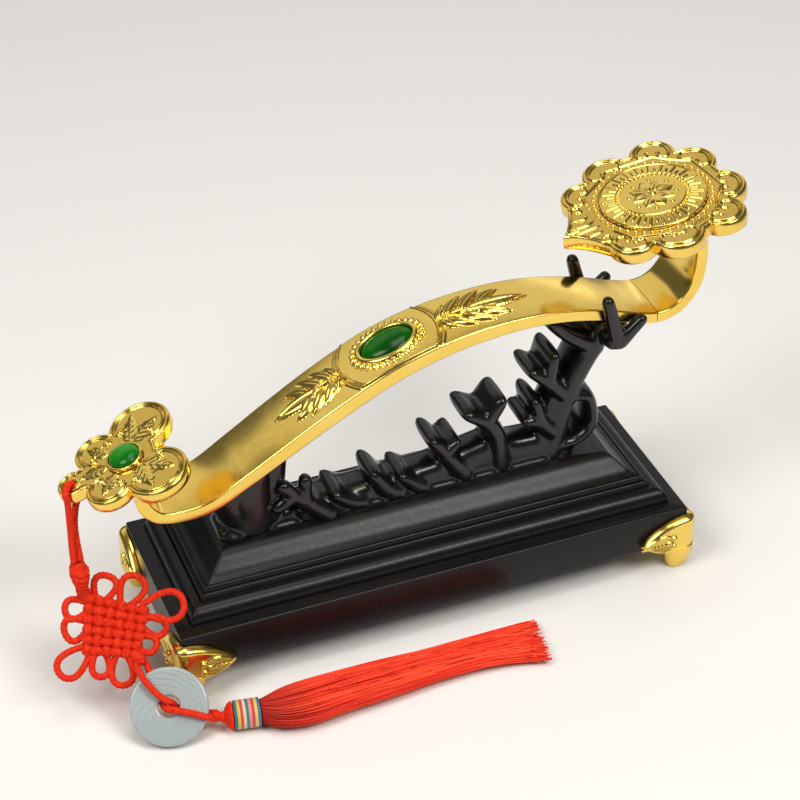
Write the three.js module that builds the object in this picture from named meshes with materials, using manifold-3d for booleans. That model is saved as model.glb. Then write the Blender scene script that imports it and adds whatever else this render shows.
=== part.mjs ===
// Ruyi sceptre lying on a branch-shaped rack over a moulded plinth, with a knotted jade and tassel pendant.
// Millimetres, +Z up, floor at z = 0. X runs from the sceptre's tail to its head, Y from front to back.
import * as THREE from 'three';
import { mergeVertices } from 'three/addons/utils/BufferGeometryUtils.js';
import Module from 'manifold-3d';

const wasm = await Module();
wasm.setup();

// Clearances
const seatGap = 0.3;
const boreGap = 0.3;
const prongGap = 0.7;

// Plinth: a slab on four corner feet, with a stepped moulding that carries a narrow deck
const plinthLength = 200;
const plinthWidth = 70.6;
const plinthHeight = 16.3;
const plinthLift = 11.2;
const ledgeWidth = 5.4;
const ovoloWidth = 4.4;
const ovoloHeight = 5.5;
const filletWidth = 1.6;
const beadWidth = 1.6;
const beadHeight = 1.9;
const cymaWidth = 10.1;
const cymaHeight = 6.9;

// Corner feet: two leaf wings round each corner and a toe down to the floor
const wingLength = 19.5;
const wingTop = 13.4;
const wingDrop = 3.0;
const wingThickness = 3.3;
const toeTopRadius = 6.6;
const toeBottomRadius = 4.2;
const toeInset = 2.6;
const shelfRadius = 17;
const shelfThickness = 2.4;
const footScrewInset = 9;
const footScrewRadius = 1.2;
const footScrewHead = 2.4;
const footScrewHeadHeight = 1.4;
const footScrewBite = 8;

// Rack: limbs of a moulded branch, each a line of [x, height over the deck, radius]
const limbHalfDepth = 9;
const prongThickness = 4.4;
const rackScrewRadius = 2;
const rackScrewHead = 4;
const rackScrewHeadHeight = 2.5;
const rackScrewBite = 9;
const rackScrewPlaces = [-63, 56];
const trunk = [[56, 2, 4.5], [59, 17, 4.2], [61, 26, 4.2], [66, 38, 4.6], [72, 49, 5], [75, 54, 4.6]];
const crownLeft = [[71, 47, 4.5], [60, 55, 3.6], [54, 61, 3]];
const crownRight = [[74, 51, 4.5], [81, 55, 3.4]];
const sideLoop = [[61, 27, 2.6], [69, 25, 2.6], [71.5, 19, 2.6], [71.5, 11, 2.6], [66, 6, 2.6], [57, 5, 2.6]];
const forks = [
  { stem: [[60, 28, 3.6], [53, 36, 3.5]], tips: [[47, 41, 2.4], [54.8, 46, 2.4]] },
  { stem: [[57, 11, 3.6], [50.5, 18, 3.5]], tips: [[45.2, 19.8, 2.4], [48, 27, 2.5]] },
  { stem: [[35, 2, 4], [33, 16, 4], [29, 24, 3.8]], tips: [[21.8, 28.6, 2.6], [33.6, 31, 3]] },
  { stem: [[20, 2, 3.6], [14.5, 10, 3.5], [12.5, 13.5, 3.4]], tips: [[7.8, 20.2, 2.4], [16, 17.6, 2.4]] },
];
const ridges = [
  [[14, 8, 3], [30, 11, 3.6]],
  [[0, 1, 3.4], [-4.4, 7.8, 2.6]],
  [[-10, 1, 3.6], [-15.8, 11.6, 2.8]],
  [[-24, 1, 3.4], [-30.3, 6.8, 2.6]],
  [[-37, 2, 3], [-38.5, 5.2, 2.4]],
  [[-44, 2, 3], [-45, 5, 2.2]],
];
const stump = [
  [[-66, 2, 6], [-71, 14, 6], [-72.5, 21, 5]],
  [[-56, 2, 6], [-54, 18, 5], [-52, 32, 4.2]],
  [[-62, 3, 9], [-62.5, 14, 9], [-62, 24, 8]],
];
const wallLine = [
  [-68, 2, 3], [-45, 3, 3.6], [-30, 3.6, 4], [-10, 4.2, 4.4], [10, 4.8, 5], [30, 5.5, 5.6], [57, 5.5, 5.6],
];
const wallHalfDepth = 6.8;
const crossLimb = [76, 52.5, 3.6];
const prongs = [
  [[76, 53.5, 3], [71, 71.8, 2.3]],
  [[77, 53, 3], [85, 61, 2.2]],
];

// Sceptre strip: centre line as [x, height over the deck]; both ends curl back under their plates.
// Each curl's far side lies this reach and drop from its plate's centre. Falling and rising points are shares
// of the way between that side and the grip, and returning ones are measured from the head's centre.
const stripEndWidth = 24;
const stripMidWidth = 27.5;
const stripEndThickness = 4.4;
const stripMidThickness = 5.8;
const stripCrown = 0.6;
const tailTabReach = 14;
const tailTabRoot = 4.5;
const headTabReach = 12;
const headTabRoot = 2;
const tailBendReach = 2.1;
const tailBendDrop = 11;
const tailFall = [[0, 0], [0.047, 0.336], [0.203, 0.619], [0.477, 0.876]];
const gripLine = [
  [-91.2, 19.5], [-80, 20.7], [-65, 29.1], [-49.6, 38.6], [-30.6, 49.7], [-8, 60.7],
  [15, 66.9], [38, 69], [54, 67.8], [70, 64.4], [84, 59.8],
];
const seam = [93.2, 57.5];
const neckBendReach = 15.8;
const neckBendDrop = 20.6;
const neckRise = [[0.317, 0.025], [0.575, 0.119], [0.784, 0.284], [0.934, 0.49], [0.988, 0.712], [1, 1]];
const neckReturn = [[15.1, -15], [12.7, -10.6], [8.7, -8]];

// Head plate: lobes as [along, across, radius] from the medallion's centre, the pointed tip along -X
const headCentre = [94.1, 102.4];
const headPitch = 10;
const headTwist = 5.7;
const headThickness = 5.5;
const headLobes = [[-18.8, 16.4, 8.6], [-4.5, 22.5, 9.9], [14.3, 22.9, 8.4], [22.4, 9.6, 9.2]];
const headCoreRadius = 22;
const headTip = 37.6;
const headTipShoulder = [-27.2, 14.8];
const medallionRadius = 19.7;
const medallionHeight = 2;
const medallionSeat = 1;

// Tail plate: lobes as [along, across, radius] from the stone's centre, the corded tip along -X
const tailCentre = [-106.1, 41.8];
const tailPitch = 19.4;
const tailTwist = -3.8;
const tailThickness = 4.7;
const tailLobes = [[-8.5, 9.7, 8.6], [8.6, 13.3, 11.4]];
const tailCoreRadius = 11.5;
const tailTipOffset = 20.4;
const tailTipRadius = 5.6;
const cordHoleRadius = 2;
const plateScrewRadius = 1.5;
const plateScrewHead = 3;
const plateScrewHeadHeight = 1.6;
const plateScrewBite = 2.4;
const headScrewAlong = -4;
const tailScrewAlong = 9.5;

// Stones and their settings
const gripStoneLength = 20;
const gripStoneWidth = 13;
const gripStoneHeight = 4.4;
const gripSettingPlace = -7;
const gripSettingRim = 4.1;
const gripSettingHeight = 2.6;
const gripSettingSink = 1.2;
const tailStoneRadius = 5.6;
const tailStoneHeight = 4;
const tailBezelWall = 1.3;
const tailBezelHeight = 1.9;
const girdleHeight = 1.3;

// Pendant: cord, knots, jade ring and tassel, with points in millimetres over the floor
const cordRadius = 1.2;
const cordSides = 8;
const topKnotPlace = [-128.3, -10.8, 46.8];
const topKnotRadius = 3.6;
const topKnotLength = 10.6;
const topKnotLean = 15;
const knotPlace = [-120.8, -22, 29.2];
const knotAzimuth = -12;
const knotElevation = 42;
const knotCorners = [[-9.1, 13.9], [13.5, 5.8], [8, -11.7], [-12, -8]];
const knotThickness = 5;
const earBaseGap = 3;
const earSteps = 10;
const earSides = 6;
// Each ear loop: [base x, base y, direction in degrees, length, width]
const ears = [
  [-3.2, 11.5, 66, 9, 6.4], [5.2, 8.8, 58, 11, 7], [11.5, 5.4, 2, 15.2, 8.6], [11.5, 0.5, -22, 8.6, 5],
  [9, -5.6, -28, 7, 4.2], [-9.4, 8.6, 184, 8, 5.4], [-10.4, 2, 193, 8, 6.4], [-10.6, -6.8, 217, 13, 7],
  [-5.6, -8.6, 268, 9, 4.6], [1.8, -10, 268, 11.4, 6],
];
const ringPlace = [-109.6, -48.5, 11];
const ringAzimuth = -14.7;
const ringElevation = 45.3;
const ringRadius = 14;
const ringHole = 3.7;
const ringThickness = 3.5;
const ringEdgeRound = 0.8;
const loopRoute = [
  [-129.75, -9.3, 52.8], [-129.65, -7.8, 58.5], [-129.1, -6.1, 65.5], [-128.7, -5.2, 72],
  [-128.66, -4.8, 76.7], [-129, -4.42, 78.4], [-128.46, -3.06, 79.5], [-127.38, -1.19, 79.9],
  [-126.5, 0.08, 79.75], [-125.58, 0.93, 78.75], [-124.69, 1.27, 76.84], [-123.74, 1.35, 74.31],
  [-123.1, 1, 71.8], [-123.2, -0.2, 69], [-124.2, -2.8, 64.5], [-125.6, -6, 59], [-126.85, -9.3, 52.8],
];
// Strand routes on the ring: [right, up, towards the viewer] from the ring's centre
const frontStrand = [
  [-10, 16.4, -3], [-10.4, 14.9, -0.2], [-9.6, 13.2, 2.6], [-8, 10, 3.7], [-3.4, 4.2, 3.7], [0.2, 1.7, 3.1],
  [1.7, 0.7, 0], [2, 0.1, -3], [4.5, -1.2, -3.8], [9, -2.8, -3.7], [13, -3.2, -3.8], [16.6, -3.4, -4],
];
const backStrand = [
  [-7.4, 16.6, -4.5], [-6.2, 13.6, -4.3], [-5.6, 10, -3.7], [-4.6, 4.6, -3.7], [-2.2, 1.4, -3.1],
  [-1.7, 0, 0], [-0.7, -0.8, 2.9], [3, -1.7, 3.6], [9, -3.4, 3.5], [12.4, -4.7, 3.2],
  [14.2, -5.3, 1.9], [15, -5.6, 0], [15.9, -5.4, -1.6],
];
const tasselPlace = [-92, -55.1, 5.7];
const tasselYaw = -10;
const capBallRadius = 1.7;
const capRadius = 5.1;
const capLength = 3.1;
const bandLength = 9.6;
const bandTurns = 9;
const bandThread = 0.27;
const bandSteps = 16;
const bandSides = 5;
const neckRadius = 4.6;
const skirtGap = 0.5;
// Skirt sections along the floor: [x, y, width, height]
const skirtLine = [
  [-73, -58.2, 17, 9.2], [-64, -58.2, 21, 8.8], [-48.5, -57, 20.4, 8], [-31, -56.3, 19.4, 7],
  [-12.5, -55.7, 17, 6.2], [5.5, -55.4, 17.4, 5.6], [20, -56.2, 20, 5], [31, -57.8, 24, 4.4],
];

// Derived heights
const plinthTop = plinthLift + plinthHeight;
const mouldingHeight = ovoloHeight + 2 * beadHeight + cymaHeight;
const deckTop = plinthTop + mouldingHeight;
const degrees = Math.PI / 180;

const gold = { color: 0xd8a83c, roughness: 0.18, metalness: 1 };
const satinBlack = { color: 0x1d1d1f, roughness: 0.45, metalness: 0 };
const glossBlack = { color: 0x0b0b0c, roughness: 0.15, metalness: 0 };
const greenStone = { color: 0x1b8a35, roughness: 0.12, metalness: 0 };
const redCord = { color: 0xd8281a, roughness: 0.6, metalness: 0 };
const paleJade = { color: 0xb9c4c4, roughness: 0.25, metalness: 0 };
const steel = { color: 0x9a9a98, roughness: 0.35, metalness: 1 };
const stripedThread = { color: 0xc8b84a, roughness: 0.7, metalness: 0 };

// Positions only, shared corners merged, flat triangles dropped and faces turned outwards
function closed(geometry) {
  const bare = new THREE.BufferGeometry();
  bare.setAttribute('position', geometry.getAttribute('position').clone());
  if (geometry.index) bare.setIndex(geometry.index.clone());
  const merged = mergeVertices(bare, 1e-4);
  const corners = merged.index.array;
  const place = merged.getAttribute('position');
  const at = [new THREE.Vector3(), new THREE.Vector3(), new THREE.Vector3()];
  const kept = [];
  let volume = 0;
  for (let i = 0; i < corners.length; i += 3) {
    const [a, b, c] = [corners[i], corners[i + 1], corners[i + 2]];
    if (a === b || b === c || c === a) continue;
    kept.push(a, b, c);
    at[0].fromBufferAttribute(place, a);
    at[1].fromBufferAttribute(place, b);
    at[2].fromBufferAttribute(place, c);
    volume += at[0].dot(at[1].cross(at[2]));
  }
  if (volume < 0) kept.reverse();
  merged.setIndex(kept);
  return merged;
}

function solid(geometry) {
  const shell = closed(geometry);
  const vertProperties = new Float32Array(shell.getAttribute('position').array);
  const triVerts = new Uint32Array(shell.index.array);
  return new wasm.Manifold(new wasm.Mesh({ numProp: 3, vertProperties, triVerts }));
}

function geometryOf(body) {
  const mesh = body.getMesh();
  const geometry = new THREE.BufferGeometry();
  geometry.setAttribute('position', new THREE.BufferAttribute(new Float32Array(mesh.vertProperties), 3));
  geometry.setIndex(Array.from(mesh.triVerts));
  return geometry;
}

function join(geometries) {
  return geometries.map(solid).reduce((whole, next) => whole.add(next));
}

function without(body, geometries) {
  return geometries.map(solid).reduce((rest, next) => rest.subtract(next), body);
}

function piece(name, geometry, look) {
  const shell = closed(geometry);
  const mesh = new THREE.Mesh(shell, new THREE.MeshStandardMaterial(look));
  mesh.name = name;
  return mesh;
}

// A closed skin through rings of equal counts, with flat ends
function loft(rings) {
  const count = rings[0].length;
  const points = rings.flat();
  const index = [];
  for (let r = 0; r < rings.length - 1; r += 1) {
    for (let i = 0; i < count; i += 1) {
      const a = r * count + i;
      const b = r * count + (i + 1) % count;
      index.push(a, b, b + count, a, b + count, a + count);
    }
  }
  const last = (rings.length - 1) * count;
  for (let i = 1; i < count - 1; i += 1) {
    index.push(0, i + 1, i);
    index.push(last, last + i, last + i + 1);
  }
  const geometry = new THREE.BufferGeometry().setFromPoints(points);
  geometry.setIndex(index);
  return geometry;
}

// A turned piece about +Z, from [radius, height] pairs that start and end on the axis or close on themselves
function turned(profile, sides) {
  const points = profile.map(([radius, height]) => new THREE.Vector2(radius, height));
  return new THREE.LatheGeometry(points, sides).rotateX(Math.PI / 2);
}

function rod(radius, low, high, sides = 16) {
  const upright = new THREE.CylinderGeometry(radius, radius, high - low, sides).rotateX(Math.PI / 2);
  return upright.translate(0, 0, (low + high) / 2);
}

function prism(points, low, high) {
  const outline = new THREE.Shape(points.map(([x, y]) => new THREE.Vector2(x, y)));
  return new THREE.ExtrudeGeometry(outline, { depth: high - low, bevelEnabled: false }).translate(0, 0, low);
}

function ellipse(halfLength, halfWidth, sides) {
  const step = (2 * Math.PI) / sides;
  const turns = Array.from({ length: sides }, (_, i) => i * step);
  return turns.map((turn) => [halfLength * Math.cos(turn), halfWidth * Math.sin(turn)]);
}

function tube(points, radius, sides, steps) {
  const path = new THREE.CatmullRomCurve3(points);
  const section = new THREE.Shape(ellipse(radius, radius, sides).map(([x, y]) => new THREE.Vector2(x, y)));
  return new THREE.ExtrudeGeometry(section, { steps, extrudePath: path, bevelEnabled: false });
}

// A screw along +Z: the head below z = 0, the shank above
function screw(shankRadius, headRadius, headHeight, length) {
  const tip = shankRadius;
  const profile = [
    [0, -headHeight], [headRadius, -headHeight], [headRadius, 0], [shankRadius, 0],
    [shankRadius, length - tip], [0, length],
  ];
  return turned(profile, 14);
}

// Turns a piece's +Z towards a viewer at this azimuth and elevation, with its +Y upwards
function facing(azimuth, elevation) {
  const a = azimuth * degrees;
  const e = elevation * degrees;
  const right = new THREE.Vector3(Math.cos(a), Math.sin(a), 0);
  const towards = new THREE.Vector3(Math.sin(a) * Math.cos(e), -Math.cos(a) * Math.cos(e), Math.sin(e));
  const up = new THREE.Vector3().crossVectors(towards, right);
  return new THREE.Matrix4().makeBasis(right, up, towards);
}

// Plinth and moulding
function plinth() {
  const slab = new THREE.BoxGeometry(plinthLength, plinthWidth, plinthHeight);
  slab.translate(0, 0, plinthLift + plinthHeight / 2);
  const cuts = [];
  for (const x of rackScrewPlaces) {
    const headRoom = plinthLift + rackScrewHeadHeight + boreGap;
    cuts.push(rod(rackScrewRadius + boreGap, plinthLift - 1, plinthTop + 1).translate(x, 0, 0));
    cuts.push(rod(rackScrewHead + boreGap, plinthLift - 1, headRoom).translate(x, 0, 0));
  }
  for (const [sx, sy] of [[-1, -1], [1, -1], [1, 1], [-1, 1]]) {
    const x = sx * (plinthLength / 2 - footScrewInset);
    const y = sy * (plinthWidth / 2 - footScrewInset);
    const depth = plinthLift + footScrewBite + 2 * boreGap;
    cuts.push(rod(footScrewRadius + boreGap, plinthLift - 1, depth, 12).translate(x, y, 0));
  }
  return geometryOf(without(solid(slab), cuts));
}

function mouldingProfile() {
  const profile = [[ledgeWidth, 0]];
  for (let i = 1; i <= 5; i += 1) {
    const turn = (i / 5) * (Math.PI / 2);
    profile.push([ledgeWidth + ovoloWidth * (1 - Math.cos(turn)), ovoloHeight * Math.sin(turn)]);
  }
  let inset = ledgeWidth + ovoloWidth + filletWidth;
  let height = ovoloHeight;
  profile.push([inset, height]);
  for (let bead = 0; bead < 2; bead += 1) {
    profile.push([inset + 0.15 * beadWidth, height + 0.7 * beadHeight]);
    profile.push([inset + 0.5 * beadWidth, height + beadHeight]);
    inset += beadWidth;
    height += beadHeight;
    profile.push([inset, height]);
  }
  for (let i = 1; i <= 6; i += 1) {
    const share = i / 6;
    const rise = share - 0.08 * Math.sin(2 * Math.PI * share);
    profile.push([inset + cymaWidth * share, height + cymaHeight * rise]);
  }
  return profile;
}

function moulding() {
  const rings = mouldingProfile().map(([inset, height]) => {
    const x = plinthLength / 2 - inset;
    const y = plinthWidth / 2 - inset;
    const z = plinthTop + height;
    return [[-x, -y], [x, -y], [x, y], [-x, y]].map(([u, v]) => new THREE.Vector3(u, v, z));
  });
  const holes = rackScrewPlaces.map((x) => {
    return rod(rackScrewRadius + boreGap, plinthTop - 1, deckTop + 1).translate(x, 0, 0);
  });
  return geometryOf(without(solid(loft(rings)), holes));
}

// One corner foot at the origin, the plinth's corner filling the +X +Y quarter
function foot() {
  const low = plinthLift - wingDrop;
  const high = plinthLift + wingTop;
  const outer = -seatGap - wingThickness;
  const leaf = new THREE.Shape();
  leaf.moveTo(outer, low + 1);
  leaf.lineTo(outer, high - 1.5);
  leaf.lineTo(0, high);
  leaf.quadraticCurveTo(wingLength * 0.62, high - 1, wingLength, plinthLift + wingTop * 0.26);
  leaf.quadraticCurveTo(wingLength * 0.62, low, wingLength * 0.3, low);
  leaf.closePath();
  const cut = { depth: wingThickness, bevelEnabled: false, curveSegments: 5 };
  const blade = new THREE.ExtrudeGeometry(leaf, cut);
  blade.rotateX(Math.PI / 2);
  const frontWing = blade.clone().translate(0, -seatGap, 0);
  const sideWing = blade.clone().rotateZ(Math.PI / 2).scale(-1, 1, 1).translate(-seatGap, 0, 0);
  const underside = plinthLift - seatGap;
  const toe = new THREE.CylinderGeometry(toeTopRadius, toeBottomRadius, underside, 14).rotateX(Math.PI / 2);
  toe.translate(toeInset, toeInset, underside / 2);
  const corner = outer + 0.2;
  const shelfLine = [[corner, corner], [shelfRadius, corner]];
  for (let i = 1; i <= 4; i += 1) {
    const turn = (i / 4) * (Math.PI / 2);
    shelfLine.push([shelfRadius * Math.cos(turn), shelfRadius * Math.sin(turn)]);
  }
  shelfLine.push([corner, shelfRadius]);
  const shelf = prism(shelfLine, underside - shelfThickness, underside);
  const hole = rod(footScrewRadius + boreGap, 0, plinthLift, 12).translate(footScrewInset, footScrewInset, 0);
  return geometryOf(without(join([frontWing, sideWing, toe, shelf]), [hole]));
}

function footScrew() {
  const seat = plinthLift - seatGap - shelfThickness - seatGap;
  const length = footScrewBite + plinthLift - seat;
  const part = screw(footScrewRadius, footScrewHead, footScrewHeadHeight, length);
  return part.translate(footScrewInset, footScrewInset, seat);
}

function rackScrew(x) {
  const seat = plinthLift + rackScrewHeadHeight;
  const length = deckTop + rackScrewBite - seat;
  return screw(rackScrewRadius, rackScrewHead, rackScrewHeadHeight, length).translate(x, 0, seat);
}

// Sceptre strip: a point on a plate's frame, along its axis and below its top face
function underPlate([x, z], pitch, along, depth) {
  const rise = Math.sin(pitch * degrees);
  const run = Math.cos(pitch * degrees);
  return [x + along * run + depth * rise, z + along * rise - depth * run];
}

const tabDepth = stripEndThickness / 2 + seatGap;
const tailTab = [tailTabReach, (tailTabReach + tailTabRoot) / 2, tailTabRoot].map((along) => {
  return underPlate(tailCentre, tailPitch, along, tailThickness + tabDepth);
});
const headTab = [headTabRoot, (headTabRoot - headTabReach) / 2, -headTabReach].map((along) => {
  return underPlate(headCentre, headPitch, along, headThickness + tabDepth);
});
// Points at these shares of the way from one point to another
function between([x0, z0], [x1, z1], shares) {
  return shares.map(([run, rise]) => [x0 + run * (x1 - x0), z0 + rise * (z1 - z0)]);
}

const tailSide = [tailCentre[0] + tailBendReach, tailCentre[1] - tailBendDrop];
const neckSide = [headCentre[0] + neckBendReach, headCentre[1] - neckBendDrop];
const tailBend = between(tailSide, gripLine[0], tailFall);
const neckBend = [
  ...between(seam, neckSide, neckRise),
  ...neckReturn.map(([along, up]) => [headCentre[0] + along, headCentre[1] + up]),
];
const stripLine = [...tailTab, ...tailBend, ...gripLine, seam, ...neckBend, ...headTab];
const stripPoints = stripLine.map(([x, z]) => new THREE.Vector3(x, 0, deckTop + z));
const stripPath = new THREE.CatmullRomCurve3(stripPoints, false, 'centripetal');
stripPath.arcLengthDivisions = 600;
const seamShare = shareAt(seam[0]);
const seamHalfGap = seatGap / 2 / stripPath.getLength();

// How far along the strip its grip first reaches this x
function shareAt(x) {
  const step = 0.0005;
  let share = 0.2;
  while (stripPath.getPointAt(share).x < x) share += step;
  return share;
}

// Swell of the grip, from 0 at its two ends to 1 midway
function swell(share) {
  return Math.sin(Math.PI * Math.min(1, share / seamShare)) ** 2;
}

function stripWidth(share) {
  return stripEndWidth + (stripMidWidth - stripEndWidth) * swell(share);
}

function stripThickness(share) {
  return stripEndThickness + (stripMidThickness - stripEndThickness) * swell(share);
}

function stripRing(share, extra) {
  const width = stripWidth(share) + 2 * extra;
  const thickness = stripThickness(share) + 2 * extra;
  const centre = stripPath.getPointAt(share);
  const along = stripPath.getTangentAt(share);
  const out = new THREE.Vector3(-along.z, 0, along.x);
  const place = (y, lift) => centre.clone().addScaledVector(out, lift).setY(y);
  const half = thickness / 2;
  const shoulder = half + stripCrown * 0.75;
  return [
    place(-width / 2, -half), place(width / 2, -half), place(width / 2, half), place(width / 4, shoulder),
    place(0, half + stripCrown), place(-width / 4, shoulder), place(-width / 2, half),
  ];
}

function strip(from, to, stations, extra) {
  const shares = Array.from({ length: stations + 1 }, (_, i) => from + ((to - from) * i) / stations);
  return loft(shares.map((share) => stripRing(share, extra)));
}

function handleStrip(extra) {
  return strip(0, seamShare - seamHalfGap, 64, extra);
}

function neckStrip(extra) {
  return strip(seamShare + seamHalfGap, 1, 30, extra);
}

// The oval setting's frame on the grip's top face
function gripSetting() {
  const share = shareAt(gripSettingPlace);
  const along = stripPath.getTangentAt(share);
  const out = new THREE.Vector3(-along.z, 0, along.x);
  const top = stripThickness(share) / 2 + stripCrown - gripSettingSink;
  const origin = stripPath.getPointAt(share).addScaledVector(out, top);
  return new THREE.Matrix4().makeBasis(along, new THREE.Vector3(0, 1, 0), out).setPosition(origin);
}

function plateFrame([x, z], pitch, twist) {
  const turn = new THREE.Matrix4().makeRotationZ(twist * degrees);
  const tilt = new THREE.Matrix4().makeRotationY(-pitch * degrees);
  return tilt.multiply(turn).setPosition(x, 0, deckTop + z);
}

const settingFrame = gripSetting();
const headFrame = plateFrame(headCentre, headPitch, headTwist);
const tailFrame = plateFrame(tailCentre, tailPitch, tailTwist);

function plateScrewCuts(frame, along, thickness) {
  const below = thickness + stripEndThickness + 4;
  const bore = plateScrewRadius + boreGap;
  const top = -thickness + plateScrewBite + 2 * boreGap;
  return rod(bore, -below, top, 14).translate(along, 0, 0).applyMatrix4(frame);
}

function handle() {
  const reach = gripSettingRim + boreGap;
  const oval = ellipse(gripStoneLength / 2 + reach, gripStoneWidth / 2 + reach, 40);
  const pocket = prism(oval, 0, gripSettingHeight + stripMidThickness).applyMatrix4(settingFrame);
  const bore = plateScrewCuts(tailFrame, tailScrewAlong, tailThickness);
  return geometryOf(without(solid(handleStrip(0)), [pocket, bore]));
}

function neck() {
  const bore = plateScrewCuts(headFrame, headScrewAlong, headThickness);
  return geometryOf(without(solid(neckStrip(0)), [bore]));
}

function lobedPlate(lobes, coreRadius, thickness, extras) {
  const discs = [rod(coreRadius, -thickness, 0, 36)];
  for (const [along, across, radius] of lobes) {
    for (const side of [-1, 1]) discs.push(rod(radius, -thickness, 0, 28).translate(along, side * across, 0));
  }
  return join([...discs, ...extras]);
}

function headPlate() {
  const [shoulderX, shoulderY] = headTipShoulder;
  const point = new THREE.Shape();
  point.moveTo(-headTip, 0);
  point.quadraticCurveTo(-headTip + 5, -3.2, shoulderX, -shoulderY);
  point.lineTo(0, -shoulderY);
  point.lineTo(0, shoulderY);
  point.lineTo(shoulderX, shoulderY);
  point.quadraticCurveTo(-headTip + 5, 3.2, -headTip, 0);
  const cut = { depth: headThickness, bevelEnabled: false, curveSegments: 6 };
  const tip = new THREE.ExtrudeGeometry(point, cut);
  const plate = lobedPlate(headLobes, headCoreRadius, headThickness, [tip.translate(0, 0, -headThickness)]);
  const seat = rod(medallionRadius + boreGap, -medallionSeat, 1, 48);
  const body = geometryOf(without(plate, [seat])).applyMatrix4(headFrame);
  return geometryOf(without(solid(body), [plateScrewCuts(headFrame, headScrewAlong, headThickness)]));
}

function headMedallion() {
  const low = seatGap - medallionSeat;
  const top = low + medallionHeight;
  const profile = [
    [0, low], [medallionRadius, low], [medallionRadius, top - 0.5], [medallionRadius - 1, top],
    [medallionRadius * 0.62, top], [medallionRadius * 0.6, top - 0.4], [0, top],
  ];
  return turned(profile, 40).applyMatrix4(headFrame);
}

function tailPlate() {
  const tip = rod(tailTipRadius, -tailThickness, 0, 24).translate(-tailTipOffset, 0, 0);
  const waist = prism([[-tailTipOffset, -4.6], [0, -9], [0, 9], [-tailTipOffset, 4.6]], -tailThickness, 0);
  const plate = lobedPlate(tailLobes, tailCoreRadius, tailThickness, [tip, waist]);
  const hole = rod(cordHoleRadius, -tailThickness - 1, 1, 20).translate(-tailTipOffset, 0, 0);
  const body = geometryOf(without(plate, [hole])).applyMatrix4(tailFrame);
  return geometryOf(without(solid(body), [plateScrewCuts(tailFrame, tailScrewAlong, tailThickness)]));
}

function plateScrew(frame, along, thickness) {
  const seat = -thickness - stripEndThickness - 3 * seatGap - stripCrown;
  const length = plateScrewBite - thickness - seat;
  const part = screw(plateScrewRadius, plateScrewHead, plateScrewHeadHeight, length);
  return part.translate(along, 0, seat).applyMatrix4(frame);
}

// A domed stone with a short upright girdle
function stone(radius, height) {
  const profile = [[0, seatGap], [radius, seatGap], [radius, girdleHeight]];
  for (let i = 1; i <= 6; i += 1) {
    const turn = (i / 6) * (Math.PI / 2);
    profile.push([radius * Math.cos(turn), girdleHeight + (height - girdleHeight) * Math.sin(turn)]);
  }
  profile[profile.length - 1][0] = 0;
  return turned(profile, 32);
}

function gripBezel() {
  const halfLength = gripStoneLength / 2;
  const halfWidth = gripStoneWidth / 2;
  const oval = ellipse(halfLength + gripSettingRim, halfWidth + gripSettingRim, 40);
  const rim = prism(oval, seatGap, gripSettingHeight);
  const window = prism(ellipse(halfLength + boreGap, halfWidth + boreGap, 32), 0, gripSettingHeight + 1);
  return geometryOf(without(solid(rim), [window])).applyMatrix4(settingFrame);
}

function gripStone() {
  const dome = stone(gripStoneLength / 2, gripStoneHeight);
  return dome.scale(1, gripStoneWidth / gripStoneLength, 1).applyMatrix4(settingFrame);
}

function tailBezel() {
  const inner = tailStoneRadius + boreGap;
  const outer = inner + tailBezelWall;
  const profile = [
    [inner, seatGap], [outer, seatGap], [outer, tailBezelHeight - 0.5], [outer - 0.5, tailBezelHeight],
    [inner, tailBezelHeight], [inner, seatGap],
  ];
  return turned(profile, 32).applyMatrix4(tailFrame);
}

// Rack: each limb is a row of tapered links with round ends, as deep as the branch
function link([x0, z0, r0], [x1, z1, r1], halfDepth) {
  const heading = Math.atan2(z1 - z0, x1 - x0);
  const outline = [];
  for (let i = 0; i <= 4; i += 1) {
    const turn = heading + Math.PI / 2 + (i / 4) * Math.PI;
    outline.push([x0 + r0 * Math.cos(turn), z0 + r0 * Math.sin(turn)]);
  }
  for (let i = 0; i <= 4; i += 1) {
    const turn = heading - Math.PI / 2 + (i / 4) * Math.PI;
    outline.push([x1 + r1 * Math.cos(turn), z1 + r1 * Math.sin(turn)]);
  }
  return prism(outline, -halfDepth, halfDepth).rotateX(Math.PI / 2).translate(0, 0, deckTop);
}

function limb(points, halfDepth = limbHalfDepth) {
  return points.slice(1).map((point, i) => link(points[i], point, halfDepth));
}

// The prongs stand clear of the strip's widest place between them
const prongFoot = Math.min(...prongs.flat().map(([x]) => x));
const prongReach = stripWidth(shareAt(prongFoot)) / 2 + prongGap + prongThickness / 2;

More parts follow.
